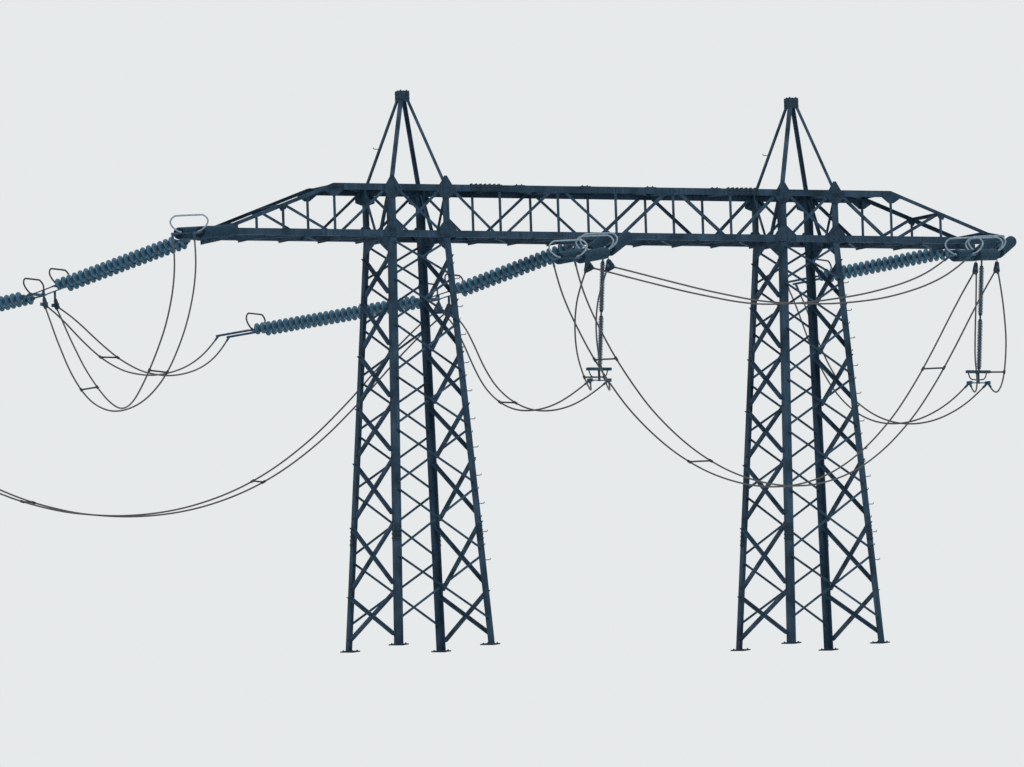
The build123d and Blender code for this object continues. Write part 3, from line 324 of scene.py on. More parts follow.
# Zinc of the other pieces: clean, dull, patch scale, rust and metallic
FINISHES = {
    "cap zinc": ((0.06, 0.08, 0.1), (0.02, 0.03, 0.04), 20, 0.6, 0.4),
    "end zinc": ((0.04, 0.06, 0.08), (0.015, 0.025, 0.035), 20, 0.4, 0.4),
    # The rings are one zinc: ring zinc is painted lighter as sunlight for the near sets, shaded
    # ring zinc is painted darker as shade for the far sets.
    "ring zinc": ((0.27, 0.34, 0.39), (0.18, 0.24, 0.29), 14, 0.05, 0.3),
    "shaded ring zinc": ((0.06, 0.07, 0.075), (0.03, 0.035, 0.04), 14, 0.2, 0.3),
    "hoop zinc": ((0.04, 0.07, 0.1), (0.015, 0.03, 0.045), 14, 0.2, 0.3),
    "casting zinc": ((0.04, 0.06, 0.08), (0.015, 0.025, 0.035), 20, 0.4, 0.4),
    "step zinc": ((0.06, 0.09, 0.12), (0.02, 0.035, 0.05), 30, 0.5, 0.3),
    "bolt zinc": ((0.05, 0.08, 0.11), (0.02, 0.035, 0.05), 30, 0.6, 0.4),
    "spacer zinc": ((0.06, 0.07, 0.08), (0.03, 0.035, 0.04), 20, 0.2, 0.5),
}
# Near rings take the painted sunlit copy of the ring zinc, far rings the painted shaded copy.
RING_LIGHT_AND_SHADE = {"near": "ring zinc", "far": "shaded ring zinc"}

# Glass as roughness and transmission, dust, rubber and the relief of surfaces
# The lip glass is the disc glass painted darker as shade on the lip and hollow side.
DISC_GLASS, SHADED_LIP_GLASS = (0.25, 0.15), (0.7, 0.05)
GLASS_IOR = 1.5
GLASS_GRIME = (0.02, 0.045, 0.065, 1)
RUBBER = (0.03, 0.075, 0.11, 1)
RUBBER_GRIME = (0.07, 0.1, 0.12, 1)
RUBBER_SMOOTH = 0.45
SHEEN = 0.2
ZINC_RELIEF, STRAND_RELIEF = 0.25, 0.6
RELIEF_DEPTH = 0.002

# Stage
FLOOR_SIZE = 400
FLOOR_DROP = 0.002
FLOOR_ROUGHNESS = 0.9
SKY = (0.86, 0.93, 1, 1)
SKY_STRENGTH = 0.75
SUN_SPREAD = radians(18)
SUN_TURN = (radians(38), radians(-24), radians(10))

# Camera, fitted to the beam and masts
CAMERA_PLACE = (-122.468, -236.201, -15.191)
CAMERA_AZIMUTH = 0.47065
CAMERA_ELEVATION = 0.07843
CAMERA_ROLL = -0.03313
CAMERA_LENS = 439.45
CAMERA_SENSOR = 36
CAMERA_CLIP = (1, 1000)


class PylonSteel(bpy.types.PropertyGroup):
    """Colours of the structure's steel."""

    fresh: FloatVectorProperty(
        name="Zinc", description="Colour of the zinc where rain keeps it clean",
        subtype="COLOR", default=(0.028, 0.062, 0.1),
    )
    dull: FloatVectorProperty(
        name="Dull zinc", description="Colour of the zinc where it has gone dark",
        subtype="COLOR", default=(0.008, 0.022, 0.036),
    )
    bolt_across: FloatProperty(
        name="Bolt head", description="Width of a bolt head across its corners",
        unit="LENGTH", default=0.034,
    )


class PylonStrings(bpy.types.PropertyGroup):
    """Sizes and colours of the insulator strings."""

    disc_pitch: FloatProperty(
        name="Disc pitch", description="Length of one cap-and-pin disc",
        unit="LENGTH", default=0.146,
    )
    disc_radius: FloatProperty(
        name="Disc radius", description="Radius of a disc's rim",
        unit="LENGTH", default=0.127,
    )
    glass: FloatVectorProperty(
        name="Glass", description="Colour of the toughened glass",
        subtype="COLOR", default=(0.045, 0.14, 0.22),
    )
    # Painted shade: the lip and hollow side are the same glass as the dome, painted darker.
    rim: FloatVectorProperty(
        name="Lip shade", description="Colour of a disc's lip and hollow side, in their own shade",
        subtype="COLOR", default=(0.005, 0.025, 0.045),
    )
    sheds: IntProperty(
        name="Sheds", description="Sheds on one rod unit of a hanging set",
        subtype="UNSIGNED", min=1, default=30,
    )


class PylonJumpers(bpy.types.PropertyGroup):
    """Size and colour of the jumper conductors."""

    diameter: FloatProperty(
        name="Conductor", description="Outer diameter of a conductor",
        unit="LENGTH", default=0.036,
    )
    colour: FloatVectorProperty(
        name="Aluminium", description="Colour of the weathered strands",
        subtype="COLOR", default=(0.075, 0.073, 0.07),
    )


class PylonStage(bpy.types.PropertyGroup):
    """Floor and light."""

    floor: FloatVectorProperty(
        name="Floor", description="Colour of the floor and the backdrop",
        subtype="COLOR", default=(0.8, 0.82, 0.83),
    )
    sun: FloatProperty(
        name="Sun", description="Strength of the soft sun", subtype="UNSIGNED", default=1.6,
    )


# Shared helpers
def link(ob):
    """Puts an object in the scene."""
    bpy.context.scene.collection.objects.link(ob)
    return ob


def piece(name, mesh, slot, look=None, stands_for=()):
    """Finished piece on the frame, at the origin."""
    if not mesh.polygons:
        raise RuntimeError(f"{name} came out empty")
    ob = link(bpy.data.objects.new(name, mesh))
    if look:
        mesh.materials.clear()
        mesh.materials.append(look)
    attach(ob, BODY)
    if stands_for:
        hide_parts(*stands_for)
    return ob


def set_matrix(origin, across, along):
    """Matrix with x across, y up from the piece and z along it."""
    x = across.normalized()
    z = along.normalized()
    turn = Matrix((x, z.cross(x), z)).transposed().to_4x4()
    return Matrix.Translation(origin) @ turn


def set_plane(origin, face, slope):
    """Plane across a tension set that leads away from a face, down by a slope."""
    a = LINE_ANGLE[face]
    sy = FACES[face]
    along = Vector((-sin(a), sy * cos(a), -slope))
    return set_matrix(origin, Vector((-sy * cos(a), -sin(a), 0)), along)


def offset(matrix, distance):
    """The same plane, a distance along its z."""
    return matrix @ Matrix.Translation((0, 0, distance))


def batter(out):
    """Run per height of the mast side that faces a way."""
    return BATTER_X if abs(out.x) > 0.5 else BATTER_Y


def half_width(out, z):
    """Half the mast's width in a direction at a height."""
    half = HALF_X if abs(out.x) > 0.5 else HALF_Y
    return half + batter(out) * max(BEAM_BOTTOM - z, 0)


def side_point(centre, out, across, u, z):
    """Point on a mast's side, a distance across from its middle."""
    return Vector((centre, 0, z)) + out * half_width(out, z) + across * u


def beside(out):
    """Way along the side that faces a way."""
    return Vector((-out.y, out.x, 0))


def top_line(x):
    """Height of the beam's top."""
    run = max(abs(x) - KNEE_X, 0) / (SLOPE_END_X - KNEE_X)
    return BEAM_TOP + (SLOPE_END_Z - BEAM_TOP) * run


def plan_sets(pitch):
    """Planes along every tension set, and where the jumpers end."""
    planes, ends = {}, {}
    for name, (face, x, link_length, slopes, counts) in SETS.items():
        sy = FACES[face]
        pin = Vector((x, sy * (CHORD_Y + LUG_REACH), BEAM_BOTTOM + PIN_RISE))
        inner = set_plane(pin, face, slopes[0])
        end = link_length + YOKE_LENGTH + counts[0] * pitch
        node = set_plane(offset(inner, end).translation, face, slopes[1 % len(slopes)])
        outer = set_plane(offset(node, MID_NODE).translation, face, slopes[-1])
        live = offset(inner, end)
        across = inner.to_3x3() @ WAYS[0]
        if len(counts) == 2:
            live = offset(outer, OUTER_LINK + counts[1] * pitch + LIVE_LINK)
            low = offset(node, MID_NODE / 2).translation - Vector((0, 0, CLAMP_DROP))
            ends[name, "clamp"] = (low, across)
        ends[name, "terminal"] = (offset(live, LIVE_REACH).translation, across)
        planes[name] = (inner, node, outer, live)
    for name, x in HANG_TOPS.items():
        low = Vector((x - HANG_LEAN, 0, HANG_CLAMP_Z))
        ends[name, "near"] = (low, WAYS[0])
        ends[name, "far"] = (low, WAYS[2])
    return planes, ends


def conductor(jumper, side, ends):
    """Points of one conductor, from barrel to barrel."""
    start, end, sway, sink, middle = JUMPERS[jumper]
    (first, across), (last, across_last) = ends[start], ends[end]
    centres = [first] + [Vector(p) for p in middle] + [last]
    angle = degrees(atan2(across.y, across.x))
    turn = (degrees(atan2(across_last.y, across_last.x)) - angle + 180) % 360 - 180
    points = []
    for i, centre in enumerate(centres):
        t = i / (len(centres) - 1)
        eased = min(max((t - TURN_START) / TURN_SHARE, 0), 1)
        eased *= eased * (3 - 2 * eased)
        swing = sin(pi * t)
        a = radians(angle + turn * eased + sway * swing)
        reach = STRING_GAP / 2 * (1 + PARTING.get(jumper, 0) * sin(pi * t**1.2))
        late = LATE_PARTING.get(jumper, 0) * max(-sin(2 * pi * t), 0)
        drop = -sink * swing - late
        points.append(centre + Vector((cos(a) * reach, sin(a) * reach, drop)) * side)
    points[0] += (points[1] - points[0]).normalized() * STUB
    points[-1] += (points[-2] - points[-1]).normalized() * STUB
    return points


# Meshes
def plain_mesh(name, bm):
    """Mesh from a bmesh, which it uses up."""
    mesh = bpy.data.meshes.new(name)
    bm.to_mesh(mesh)
    bm.free()
    return mesh


def to_mesh(name, bm, smooth=False):
    """Mesh from a bmesh, with its faces turned outwards."""
    bmesh.ops.recalc_face_normals(bm, faces=bm.faces)
    for face in bm.faces:
        face.smooth = smooth
    return plain_mesh(name, bm)


def joined(name, meshes):
    """One mesh from several, which it uses up."""
    bm = bmesh.new()
    for mesh in meshes:
        bm.from_mesh(mesh)
        bpy.data.meshes.remove(mesh)
    return plain_mesh(name, bm)


def moved(mesh, matrix):
    """The same mesh, moved."""
    mesh.transform(matrix)
    return mesh


def lathe(name, profile, sides, wide=1, high=1):
    """Surface of revolution about z, from (radius, height) points in shares of a radius
    and a height."""
    bm = bmesh.new()
    turns = [2 * pi * i / sides for i in range(sides)]
    rings = []
    for share, height_share in profile:
        radius, height = share * wide, height_share * high
        spots = [(radius * cos(t), radius * sin(t), height) for t in turns]
        rings.append([bm.verts.new(spot) for spot in (spots if radius else [(0, 0, height)])])
    for low, up in zip(rings, rings[1:]):
        for i in range(sides):
            j = (i + 1) % sides
            corners = [
                low[i % len(low)], low[j % len(low)], up[j % len(up)], up[i % len(up)],
            ]
            bm.faces.new(list(dict.fromkeys(corners)))
    return to_mesh(name, bm, smooth=True)


def tube(bm, points, barrel):
    """Round bar through points, its section carried along without twist."""
    radius, sides = barrel
    turns = [2 * pi * k / sides for k in range(sides)]
    rings = []
    side = None
    for i, point in enumerate(points):
        before = points[i - 1] if i else point
        after = points[i + 1] if i < len(points) - 1 else point
        along = (after - before).normalized()
        if side is None:
            side = along.orthogonal()
        side = (side - along * side.dot(along)).normalized()
        up = along.cross(side)
        rings.append([bm.verts.new(point + (side * cos(t) + up * sin(t)) * radius) for t in turns])
    for low, high in zip(rings, rings[1:]):
        for k in range(sides):
            j = (k + 1) % sides
            bm.faces.new((low[k], low[j], high[j], high[k]))
    bm.faces.new(rings[0][::-1])
    bm.faces.new(rings[-1])


def smooth_line(corners, steps=3):
    """Points of a smooth open line through corners."""
    points = []
    for i in range(len(corners) - 1):
        a, b, c = corners[max(i - 1, 0)], corners[i], corners[i + 1]
        d = corners[min(i + 2, len(corners) - 1)]
        for k in range(steps):
            t = k / steps
            bend = (2 * a - 5 * b + 4 * c - d) * t * t + (3 * b - a - 3 * c + d) * t**3
            points.append(b + ((c - a) * t + bend) / 2)
    return points + [corners[-1]]


def boxed(bm, matrix, size, centre):
    """Box of a size about a point of a matrix's space."""
    made = bmesh.ops.create_cube(bm, size=1)
    place = matrix @ Matrix.Translation(centre) @ Matrix.Diagonal((*size, 1))
    bmesh.ops.transform(bm, matrix=place, verts=made["verts"])


def point_mesh(name, places):
    """Loose points with the direction that each faces, from (point, facing) pairs."""
    mesh = bpy.data.meshes.new(name)
    mesh.from_pydata([place for place, _ in places], [], [])
    facing = mesh.attributes.new("facing", "FLOAT_VECTOR", "POINT")
    for i, (_, direction) in enumerate(places):
        facing.data[i].vector = direction
    return mesh


# Node trees
def feed(tree, node, inputs):
    """Sets a node's inputs to values, or links them to sockets."""
    for key, value in inputs.items():
        if isinstance(value, bpy.types.NodeSocket):
            tree.links.new(value, node.inputs[key])
        else:
            node.inputs[key].default_value = value
    return node


def put(tree, kind, inputs=None, **settings):
    """New node of a kind, with its settings and its inputs."""
    node = tree.nodes.new(kind)
    for key, value in settings.items():
        setattr(node, key, value)
    return feed(tree, node, inputs or {})


def maths(tree, operation, *values):
    """Result of a Math node."""
    node = put(tree, "ShaderNodeMath", dict(enumerate(values)), operation=operation)
    return node.outputs[0]


def vector(tree, **axes):
    """Vector from its named axes."""
    return put(tree, "ShaderNodeCombineXYZ", axes).outputs["Vector"]


def new_group(name, kind, inputs, outputs):
    """Group with named sockets, what it is given, and its output node."""
    tree = bpy.data.node_groups.new(name, kind)
    for label, (sort, default) in inputs.items():
        item = tree.interface.new_socket(label, in_out="INPUT", socket_type=f"NodeSocket{sort}")
        if default is not None:
            item.default_value = default
    for label, sort in outputs.items():
        tree.interface.new_socket(label, in_out="OUTPUT", socket_type=f"NodeSocket{sort}")
    return tree, tree.nodes.new("NodeGroupInput").outputs, tree.nodes.new("NodeGroupOutput")


# Geometry node trees
def finish_tree(tree, given, out, geometry):
    """Realize Instances and Set Material, which every geometry tree ends in."""
    real = put(tree, "GeometryNodeRealizeInstances", {"Geometry": geometry})
    inputs = {"Geometry": real.outputs["Geometry"], "Material": given["Material"]}
    dressed = put(tree, "GeometryNodeSetMaterial", inputs)
    feed(tree, out, {"Geometry": dressed.outputs["Geometry"]})
    return tree


def instances(tree, points, instance, **more):
    """An instance on each point."""
    inputs = {"Points": points, "Instance": instance, **more}
    return put(tree, "GeometryNodeInstanceOnPoints", inputs).outputs["Instances"]


def row(tree, inputs):
    """Points in a row."""
    return put(tree, "GeometryNodeMeshLine", inputs, mode="OFFSET").outputs["Mesh"]


def string_tree():
    """Repeats one unit along a string, and the string side by side."""
    name = "Strings of units"
    if name in bpy.data.node_groups:
        return bpy.data.node_groups[name]
    tree, given, out = new_group(
        name, "GeometryNodeTree",
        {
            "Geometry": ("Geometry", None), "Count": ("Int", SHORT_DISCS),
            "Pitch": ("Float", 0.146), "Strings": ("Int", 2), "Gap": ("Float", STRING_GAP),
            "Material": ("Material", None),
        },
        {"Geometry": "Geometry"},
    )
    half = maths(tree, "MULTIPLY", given["Gap"], -0.5)
    shift = maths(tree, "MULTIPLY", half, maths(tree, "SUBTRACT", given["Strings"], 1))
    steps = row(tree, {"Count": given["Count"], "Offset": vector(tree, Z=given["Pitch"])})
    columns = row(tree, {
        "Count": given["Strings"], "Offset": vector(tree, X=given["Gap"]),
        "Start Location": vector(tree, X=shift),
    })
    string = instances(tree, steps, given["Geometry"])
    return finish_tree(tree, given, out, instances(tree, columns, string))


def bolt_tree():
    """Puts a hexagon head, its washer and the bolt's end on each point, along the
    point's facing, turned about it at random."""
    name = "Bolts on points"
    if name in bpy.data.node_groups:
        return bpy.data.node_groups[name]
    tree, given, out = new_group(
        name, "GeometryNodeTree",
        {
            "Geometry": ("Geometry", None), "Across": ("Float", 0.034),
            "Height": ("Float", 0.014), "Seed": ("Int", BOLT_SEED),
            "Material": ("Material", None),
        },
        {"Geometry": "Geometry"},
    )
    join = put(tree, "GeometryNodeJoinGeometry")
    for sides, radius, depth, low in BOLT_PARTS:
        deep = maths(tree, "MULTIPLY", given["Height"], depth)
        made = put(tree, "GeometryNodeMeshCylinder", {
            "Vertices": sides, "Depth": deep,
            "Radius": maths(tree, "MULTIPLY", given["Across"], radius),
        })
        lift = maths(
            tree, "ADD", maths(tree, "MULTIPLY", deep, 0.5),
            maths(tree, "MULTIPLY", given["Height"], low),
        )
        placed = put(tree, "GeometryNodeTransform", {
            "Geometry": made.outputs["Mesh"], "Translation": vector(tree, Z=lift),
        })
        tree.links.new(placed.outputs["Geometry"], join.inputs["Geometry"])
    facing = put(
        tree, "GeometryNodeInputNamedAttribute", {"Name": "facing"}, data_type="FLOAT_VECTOR",
    )
    inputs = {"Vector": facing.outputs["Attribute"]}
    align = put(tree, "FunctionNodeAlignRotationToVector", inputs, axis="Z")
    inputs = {"Max": BOLT_TURN, "Seed": given["Seed"]}
    spread = put(tree, "FunctionNodeRandomValue", inputs, data_type="FLOAT")
    about = put(
        tree, "FunctionNodeRotateRotation",
        {
            "Rotation": align.outputs["Rotation"],
            "Rotate By": vector(tree, Z=spread.outputs[1]),
        },
        rotation_space="LOCAL",
    )
    bolts = instances(
        tree, given["Geometry"], join.outputs["Geometry"], Rotation=about.outputs["Rotation"],
    )
    return finish_tree(tree, given, out, bolts)


def grown(name, mesh, tree, values):
    """Plain mesh that a tree makes from a mesh, with the tree's inputs set by name."""
    ob = link(bpy.data.objects.new(name, mesh))
    modifier = ob.modifiers.new(tree.name, "NODES")
    modifier.node_group = tree
    for item in tree.interface.items_tree:
        if item.item_type == "SOCKET" and item.in_out == "INPUT" and item.name in values:
            modifier[item.identifier] = values[item.name]
    graph = bpy.context.evaluated_depsgraph_get()
    result = bpy.data.meshes.new_from_object(ob.evaluated_get(graph), depsgraph=graph)
    result.name = name
    ob.modifiers.remove(modifier)
    bpy.data.objects.remove(ob)
    return result


# Shader groups
def noise(tree, place, scale, detail):
    """Noise at a place."""
    inputs = {"Vector": place, "Scale": scale, "Detail": detail}
    return put(tree, "ShaderNodeTexNoise", inputs).outputs["Fac"]


def ramp(tree, value, low, high, start=0, end=1):
    """Value between low and high, as one between start and end."""
    inputs = {"Value": value, "From Min": low, "From Max": high, "To Min": start, "To Max": end}
    return put(tree, "ShaderNodeMapRange", inputs).outputs["Result"]


def blend(tree, factor, first, second):
    """Colour between two, on the Mix node's colour sockets."""
    mix = put(tree, "ShaderNodeMix", {"Factor": factor}, data_type="RGBA")
    sockets = [i for i, socket in enumerate(mix.inputs) if socket.type == "RGBA"]
    feed(tree, mix, dict(zip(sockets, (first, second))))
    return next(socket for socket in mix.outputs if socket.type == "RGBA")


def weather_group():
    """Zinc that has dulled in patches, with streaks down and a fine grain."""
    name = "Weathered zinc"
    if name in bpy.data.node_groups:
        return bpy.data.node_groups[name]
    tree, given, out = new_group(
        name, "ShaderNodeTree",
        {
            "Vector": ("Vector", None), "Clean": ("Color", (0.1, 0.14, 0.18, 1)),
            "Dull": ("Color", (0.03, 0.05, 0.07, 1)), "Rust": ("Color", (0.12, 0.06, 0.03, 1)),
            "Patch Scale": ("Float", 2.5), "Streak Scale": ("Float", 30),
            "Rust Amount": ("Float", 0.3),
        },
        {"Color": "Color", "Roughness": "Float", "Height": "Float"},
    )
    patch = noise(tree, given["Vector"], given["Patch Scale"], 5)
    inputs = {"Vector": given["Vector"], "Scale": (1, 1, 0.06)}
    stretched = put(tree, "ShaderNodeMapping", inputs).outputs["Vector"]
    wash = ramp(tree, noise(tree, stretched, given["Streak Scale"], 3), 0.4, 0.75)
    dulled = maths(tree, "MAXIMUM", ramp(tree, patch, 0.35, 0.68), wash)
    spots = maths(tree, "MULTIPLY", ramp(tree, patch, 0.66, 0.8), wash)
    rusted = maths(tree, "MULTIPLY", spots, given["Rust Amount"])
    base = blend(tree, dulled, given["Clean"], given["Dull"])
    feed(tree, out, {
        "Color": blend(tree, rusted, base, given["Rust"]),
        "Roughness": ramp(tree, dulled, 0, 1, 0.6, 0.88),
        "Height": noise(tree, given["Vector"], 420, 2),
    })
    return tree


def grime_group():
    """Dust on glass or rubber, thicker in patches."""
    name = "Thin grime"
    if name in bpy.data.node_groups:
        return bpy.data.node_groups[name]
    tree, given, out = new_group(
        name, "ShaderNodeTree",
        {
            "Vector": ("Vector", None), "Clean": ("Color", (0.3, 0.5, 0.55, 1)),
            "Grime": ("Color", (0.2, 0.24, 0.26, 1)), "Scale": ("Float", 9),
            "Amount": ("Float", 0.6), "Smooth": ("Float", 0.12),
        },
        {"Color": "Color", "Roughness": "Float"},
    )
    mask = ramp(tree, noise(tree, given["Vector"], given["Scale"], 4), 0.4, 0.75)
    amount = maths(tree, "MULTIPLY", mask, given["Amount"])
    feed(tree, out, {
        "Color": blend(tree, amount, given["Clean"], given["Grime"]),
        "Roughness": maths(tree, "MULTIPLY_ADD", amount, 0.6, given["Smooth"]),
    })
    return tree


def strand_group():
    """Twisted strands round a conductor, from its UV map: u along, v around."""
    name = "Twisted strands"
    if name in bpy.data.node_groups:
        return bpy.data.node_groups[name]
    tree, given, out = new_group(
        name, "ShaderNodeTree",
        {
            "Vector": ("Vector", None), "Strands": ("Float", STRANDS), "Lays": ("Float", 20),
            "Ridge": ("Color", (0.2, 0.17, 0.14, 1)), "Groove Shade": ("Color", (0.05, 0.04, 0.03, 1)),
        },
        {"Color": "Color", "Height": "Float"},
    )
    uv = put(tree, "ShaderNodeSeparateXYZ", {"Vector": given["Vector"]}).outputs
    around = maths(tree, "MULTIPLY", uv["Y"], given["Strands"])
    along = maths(tree, "MULTIPLY_ADD", uv["X"], given["Lays"], around)
    hump = maths(tree, "PINGPONG", maths(tree, "FRACT", along), 0.5)
    # Painted shade: the grooves between strands are coloured darker than the ridges.
    shade = ramp(tree, hump, 0, 0.2)
    feed(tree, out, {
        "Color": blend(tree, shade, given["Groove Shade"], given["Ridge"]), "Height": shade,
    })
    return tree


# Materials
def material(name, group, values, surface, source="Object", relief=0):
    """Material whose looks come from a shader group, beside the shader's plain values."""
    made = bpy.data.materials.new(name)
    made.use_nodes = True
    tree = made.node_tree
    coords = put(tree, "ShaderNodeTexCoord").outputs[source]
    looks = put(tree, "ShaderNodeGroup", {"Vector": coords, **values}, node_tree=group).outputs
    surface = {"Base Color": looks["Color"], **surface}
    if "Roughness" in looks:
        surface["Roughness"] = looks["Roughness"]
    if relief:
        inputs = {"Strength": relief, "Distance": RELIEF_DEPTH, "Height": looks["Height"]}
        surface["Normal"] = put(tree, "ShaderNodeBump", inputs).outputs["Normal"]
    feed(tree, tree.nodes["Principled BSDF"], surface)
    return made


def zinc(name, clean, dull, patch, rust, metallic):
    """Weathered zinc with its own colours."""
    values = {
        "Clean": (*clean, 1), "Dull": (*dull, 1), "Patch Scale": patch, "Rust Amount": rust,
    }
    surface = {"Metallic": metallic, "Specular IOR Level": SHEEN}
    return material(name, weather_group(), values, surface, relief=ZINC_RELIEF)


def finish(name):
    """Zinc of a piece that the frame doesn't hold."""
    return zinc(name, *FINISHES[name])


def steel_finish(steel, name, clean, dull, *rest):
    """Zinc of the structure, in shares of the colours that the user sets."""
    return zinc(name, Vector(steel.fresh) * clean, Vector(steel.dull) * dull, *rest)


def glass(name, colour, smooth, transmission):
    """Toughened glass with its own colour, dull where dust lies."""
    values = {"Clean": (*colour, 1), "Grime": GLASS_GRIME, "Smooth": smooth}
    surface = {
        "Transmission Weight": transmission, "Specular IOR Level": SHEEN, "IOR": GLASS_IOR,
    }
    return material(name, grime_group(), values, surface)


def rubber(name):
    """Rubber of the sheds, greyed by dust."""
    values = {"Clean": RUBBER, "Grime": RUBBER_GRIME, "Smooth": RUBBER_SMOOTH}
    return material(name, grime_group(), values, {})


def aluminium(name, colour, length):
    """Weathered stranded aluminium, its lay fitted to the conductor's length."""
    values = {
        # The groove colour is the strand colour darkened as painted shade.
        "Ridge": (*colour, 1), "Groove Shade": (*(c * GROOVE_SHADE_SHARE for c in colour), 1),
        "Lays": round(length / LAY_LENGTH) * STRANDS,
    }
    surface = {"Metallic": 0.5, "Roughness": 0.5}
    return material(name, strand_group(), values, surface, "UV", STRAND_RELIEF)


def mix_shaders(tree, share, first, second, output):
    """Leads a mix of two shaders to an output node."""
    mix = put(tree, "ShaderNodeMixShader", {0: share, 1: first, 2: second})
    feed(tree, tree.nodes[output], {"Surface": mix.outputs["Shader"]})


def floor_paint(colour):
    """Matt paint that is clear from below."""
    made = bpy.data.materials.new("floor paint")
    made.use_nodes = True
    tree = made.node_tree
    inputs = {"Base Color": (*colour, 1), "Roughness": FLOOR_ROUGHNESS}
    shader = feed(tree, tree.nodes["Principled BSDF"], inputs)
    clear = put(tree, "ShaderNodeBsdfTransparent")
    back = put(tree, "ShaderNodeNewGeometry")
    mix_shaders(
        tree, back.outputs["Backfacing"], shader.outputs["BSDF"], clear.outputs["BSDF"],
        "Material Output",
    )
    return made


def soft_sky(colour):
    """Sky that lights the pylon, and a backdrop of one colour where it is seen."""
    world = bpy.data.worlds.new("soft sky")
    world.use_nodes = True
    tree = world.node_tree
    light = feed(tree, tree.nodes["Background"], {"Color": SKY, "Strength": SKY_STRENGTH})
    paper = put(tree, "ShaderNodeBackground", {"Color": (*colour, 1)})
    rays = put(tree, "ShaderNodeLightPath").outputs
    seen = maths(tree, "MAXIMUM", rays["Is Camera Ray"], rays["Is Transmission Ray"])
    mix_shaders(
        tree, maths(tree, "MAXIMUM", seen, rays["Is Glossy Ray"]),
        light.outputs["Background"], paper.outputs["Background"], "World Output",
    )
    return world


# What the operators place
def repeated(unit, look, count, pitch, strings=1):
    """One unit a number of times along z, and its row side by side."""
    values = {"Count": count, "Pitch": pitch, "Strings": strings, "Material": look}
    return grown("row", unit.copy(), string_tree(), values)


def mirrored(half):
    """Half a bar's points after those of its mirror image in x."""
    return [Vector((-p.x, p.y, p.z)) for p in half] + half[::-1]


def cheek(centre, ways):
    """Casting over three ways out of a clamp's middle, with the bolt through it."""
    hull = bmesh.new()
    flat = ways[1].cross(ways[2]).normalized()
    for way in ways:
        slip = way.cross(flat).normalized() * CASTING_DEPTH
        for depth, spread in product((-CASTING_DEPTH, CASTING_DEPTH), (-1, 1)):
            hull.verts.new(centre + way * CASTING_REACH + flat * depth + slip * spread)
    bmesh.ops.convex_hull(hull, input=hull.verts)
    bmesh.ops.dissolve_limit(hull, angle_limit=FLAT_ANGLE, verts=hull.verts, edges=hull.edges)
    bmesh.ops.bevel(hull, geom=hull.edges, offset=CASTING_BEVEL, segments=2, affect="EDGES")
    spot = centre + (ways[1] + ways[2]) * CASTING_BOLT_DROP
    reach = flat * CASTING_BOLT_REACH
    tube(hull, [spot - reach, spot + reach], CASTING_BOLT)
    return hull


def splice_plates():
    """Cover plates, as a matrix with x along the plate and z outwards, the length, and
    the bolts along and across."""
    for centre, out in product(MASTS.values(), WAYS):
        side = beside(out)
        normal = out + Vector((0, 0, batter(out)))
        for sign in (-1, 1):
            reach = sign * (half_width(side, SPLICE_Z) - LEG_SIZE / 2)
            spot = side_point(centre, out, side, reach, SPLICE_Z)
            up = UP - out * batter(out) - side * (sign * batter(side))
            yield set_matrix(spot, up, normal), SPLICE_LENGTH, *SPLICE_BOLTS
    for sy in FACES.values():
        y = sy * (CHORD_Y - CHORD_SIZE / 2)
        for sx in (-1, 1):
            spot = Vector((sx * CHORD_SPLICE_X, sy * CHORD_Y, BEAM_TOP - CHORD_SIZE / 2))
            facing = Vector((0, sy, 0))
            yield set_matrix(spot, WAYS[0], facing), CHORD_SPLICE_LENGTH, *CHORD_SPLICE_BOLTS
            spot = Vector((sx * CHORD_SPLICE_X, y, BEAM_TOP))
            yield set_matrix(spot, WAYS[0], UP), CHORD_SPLICE_LENGTH, *CHORD_SPLICE_BOLTS
        for x in TOP_PLATES:
            spot = Vector((x, y, BEAM_TOP))
            yield set_matrix(spot, WAYS[0], UP), TOP_PLATE_LENGTH, *TOP_PLATE_BOLTS


def panel_bolts(centre):
    """Bolts at the ends and crossings of one mast's bracing."""
    for out in (WAYS[3], WAYS[1], WAYS[2], WAYS[0]):
        side = beside(out)
        normal = (out + Vector((0, 0, batter(out)))).normalized()
        level, panels, count = (
            (SIDE_TOP, SIDE_PANELS, 2) if out.x else (FACE_TOP, FACE_PANELS, 1)
        )
        for height in panels:
            gap = height * (1 - PANEL_FILL) / 2
            high, low = level - gap, level - height + gap
            level -= height
            upper, lower = (half_width(side, z) - LEG_SIZE / 2 for z in (high, low))
            for sign, lift in ((1, 0), (-1, BRACE_THICK)):
                a = side_point(centre, out, side, -lower * sign, low)
                b = side_point(centre, out, side, upper * sign, high)
                along = (b - a).normalized()
                for (start, way), i in product(((a, along), (b, -along)), range(count)):
                    reach = BRACE_BOLT_START + BRACE_BOLT_PITCH * i
                    yield start + way * reach + normal * lift, normal
            yield a + (b - a) * (lower / (lower + upper)) + normal * lift, normal


def anchor_bolts(centre):
    """Anchor bolts on one mast's foot plates."""
    reach_x, reach_y = (half_width(way, 0) - LEG_SIZE / 2 for way in WAYS[:2])
    for sx, sy, dx, dy in product((-1, 1), repeat=4):
        x = centre + sx * reach_x + dx * ANCHOR_SPACING / 2
        y = sy * reach_y + dy * ANCHOR_SPACING / 2
        yield Vector((x, y, FOOT_THICK)), UP


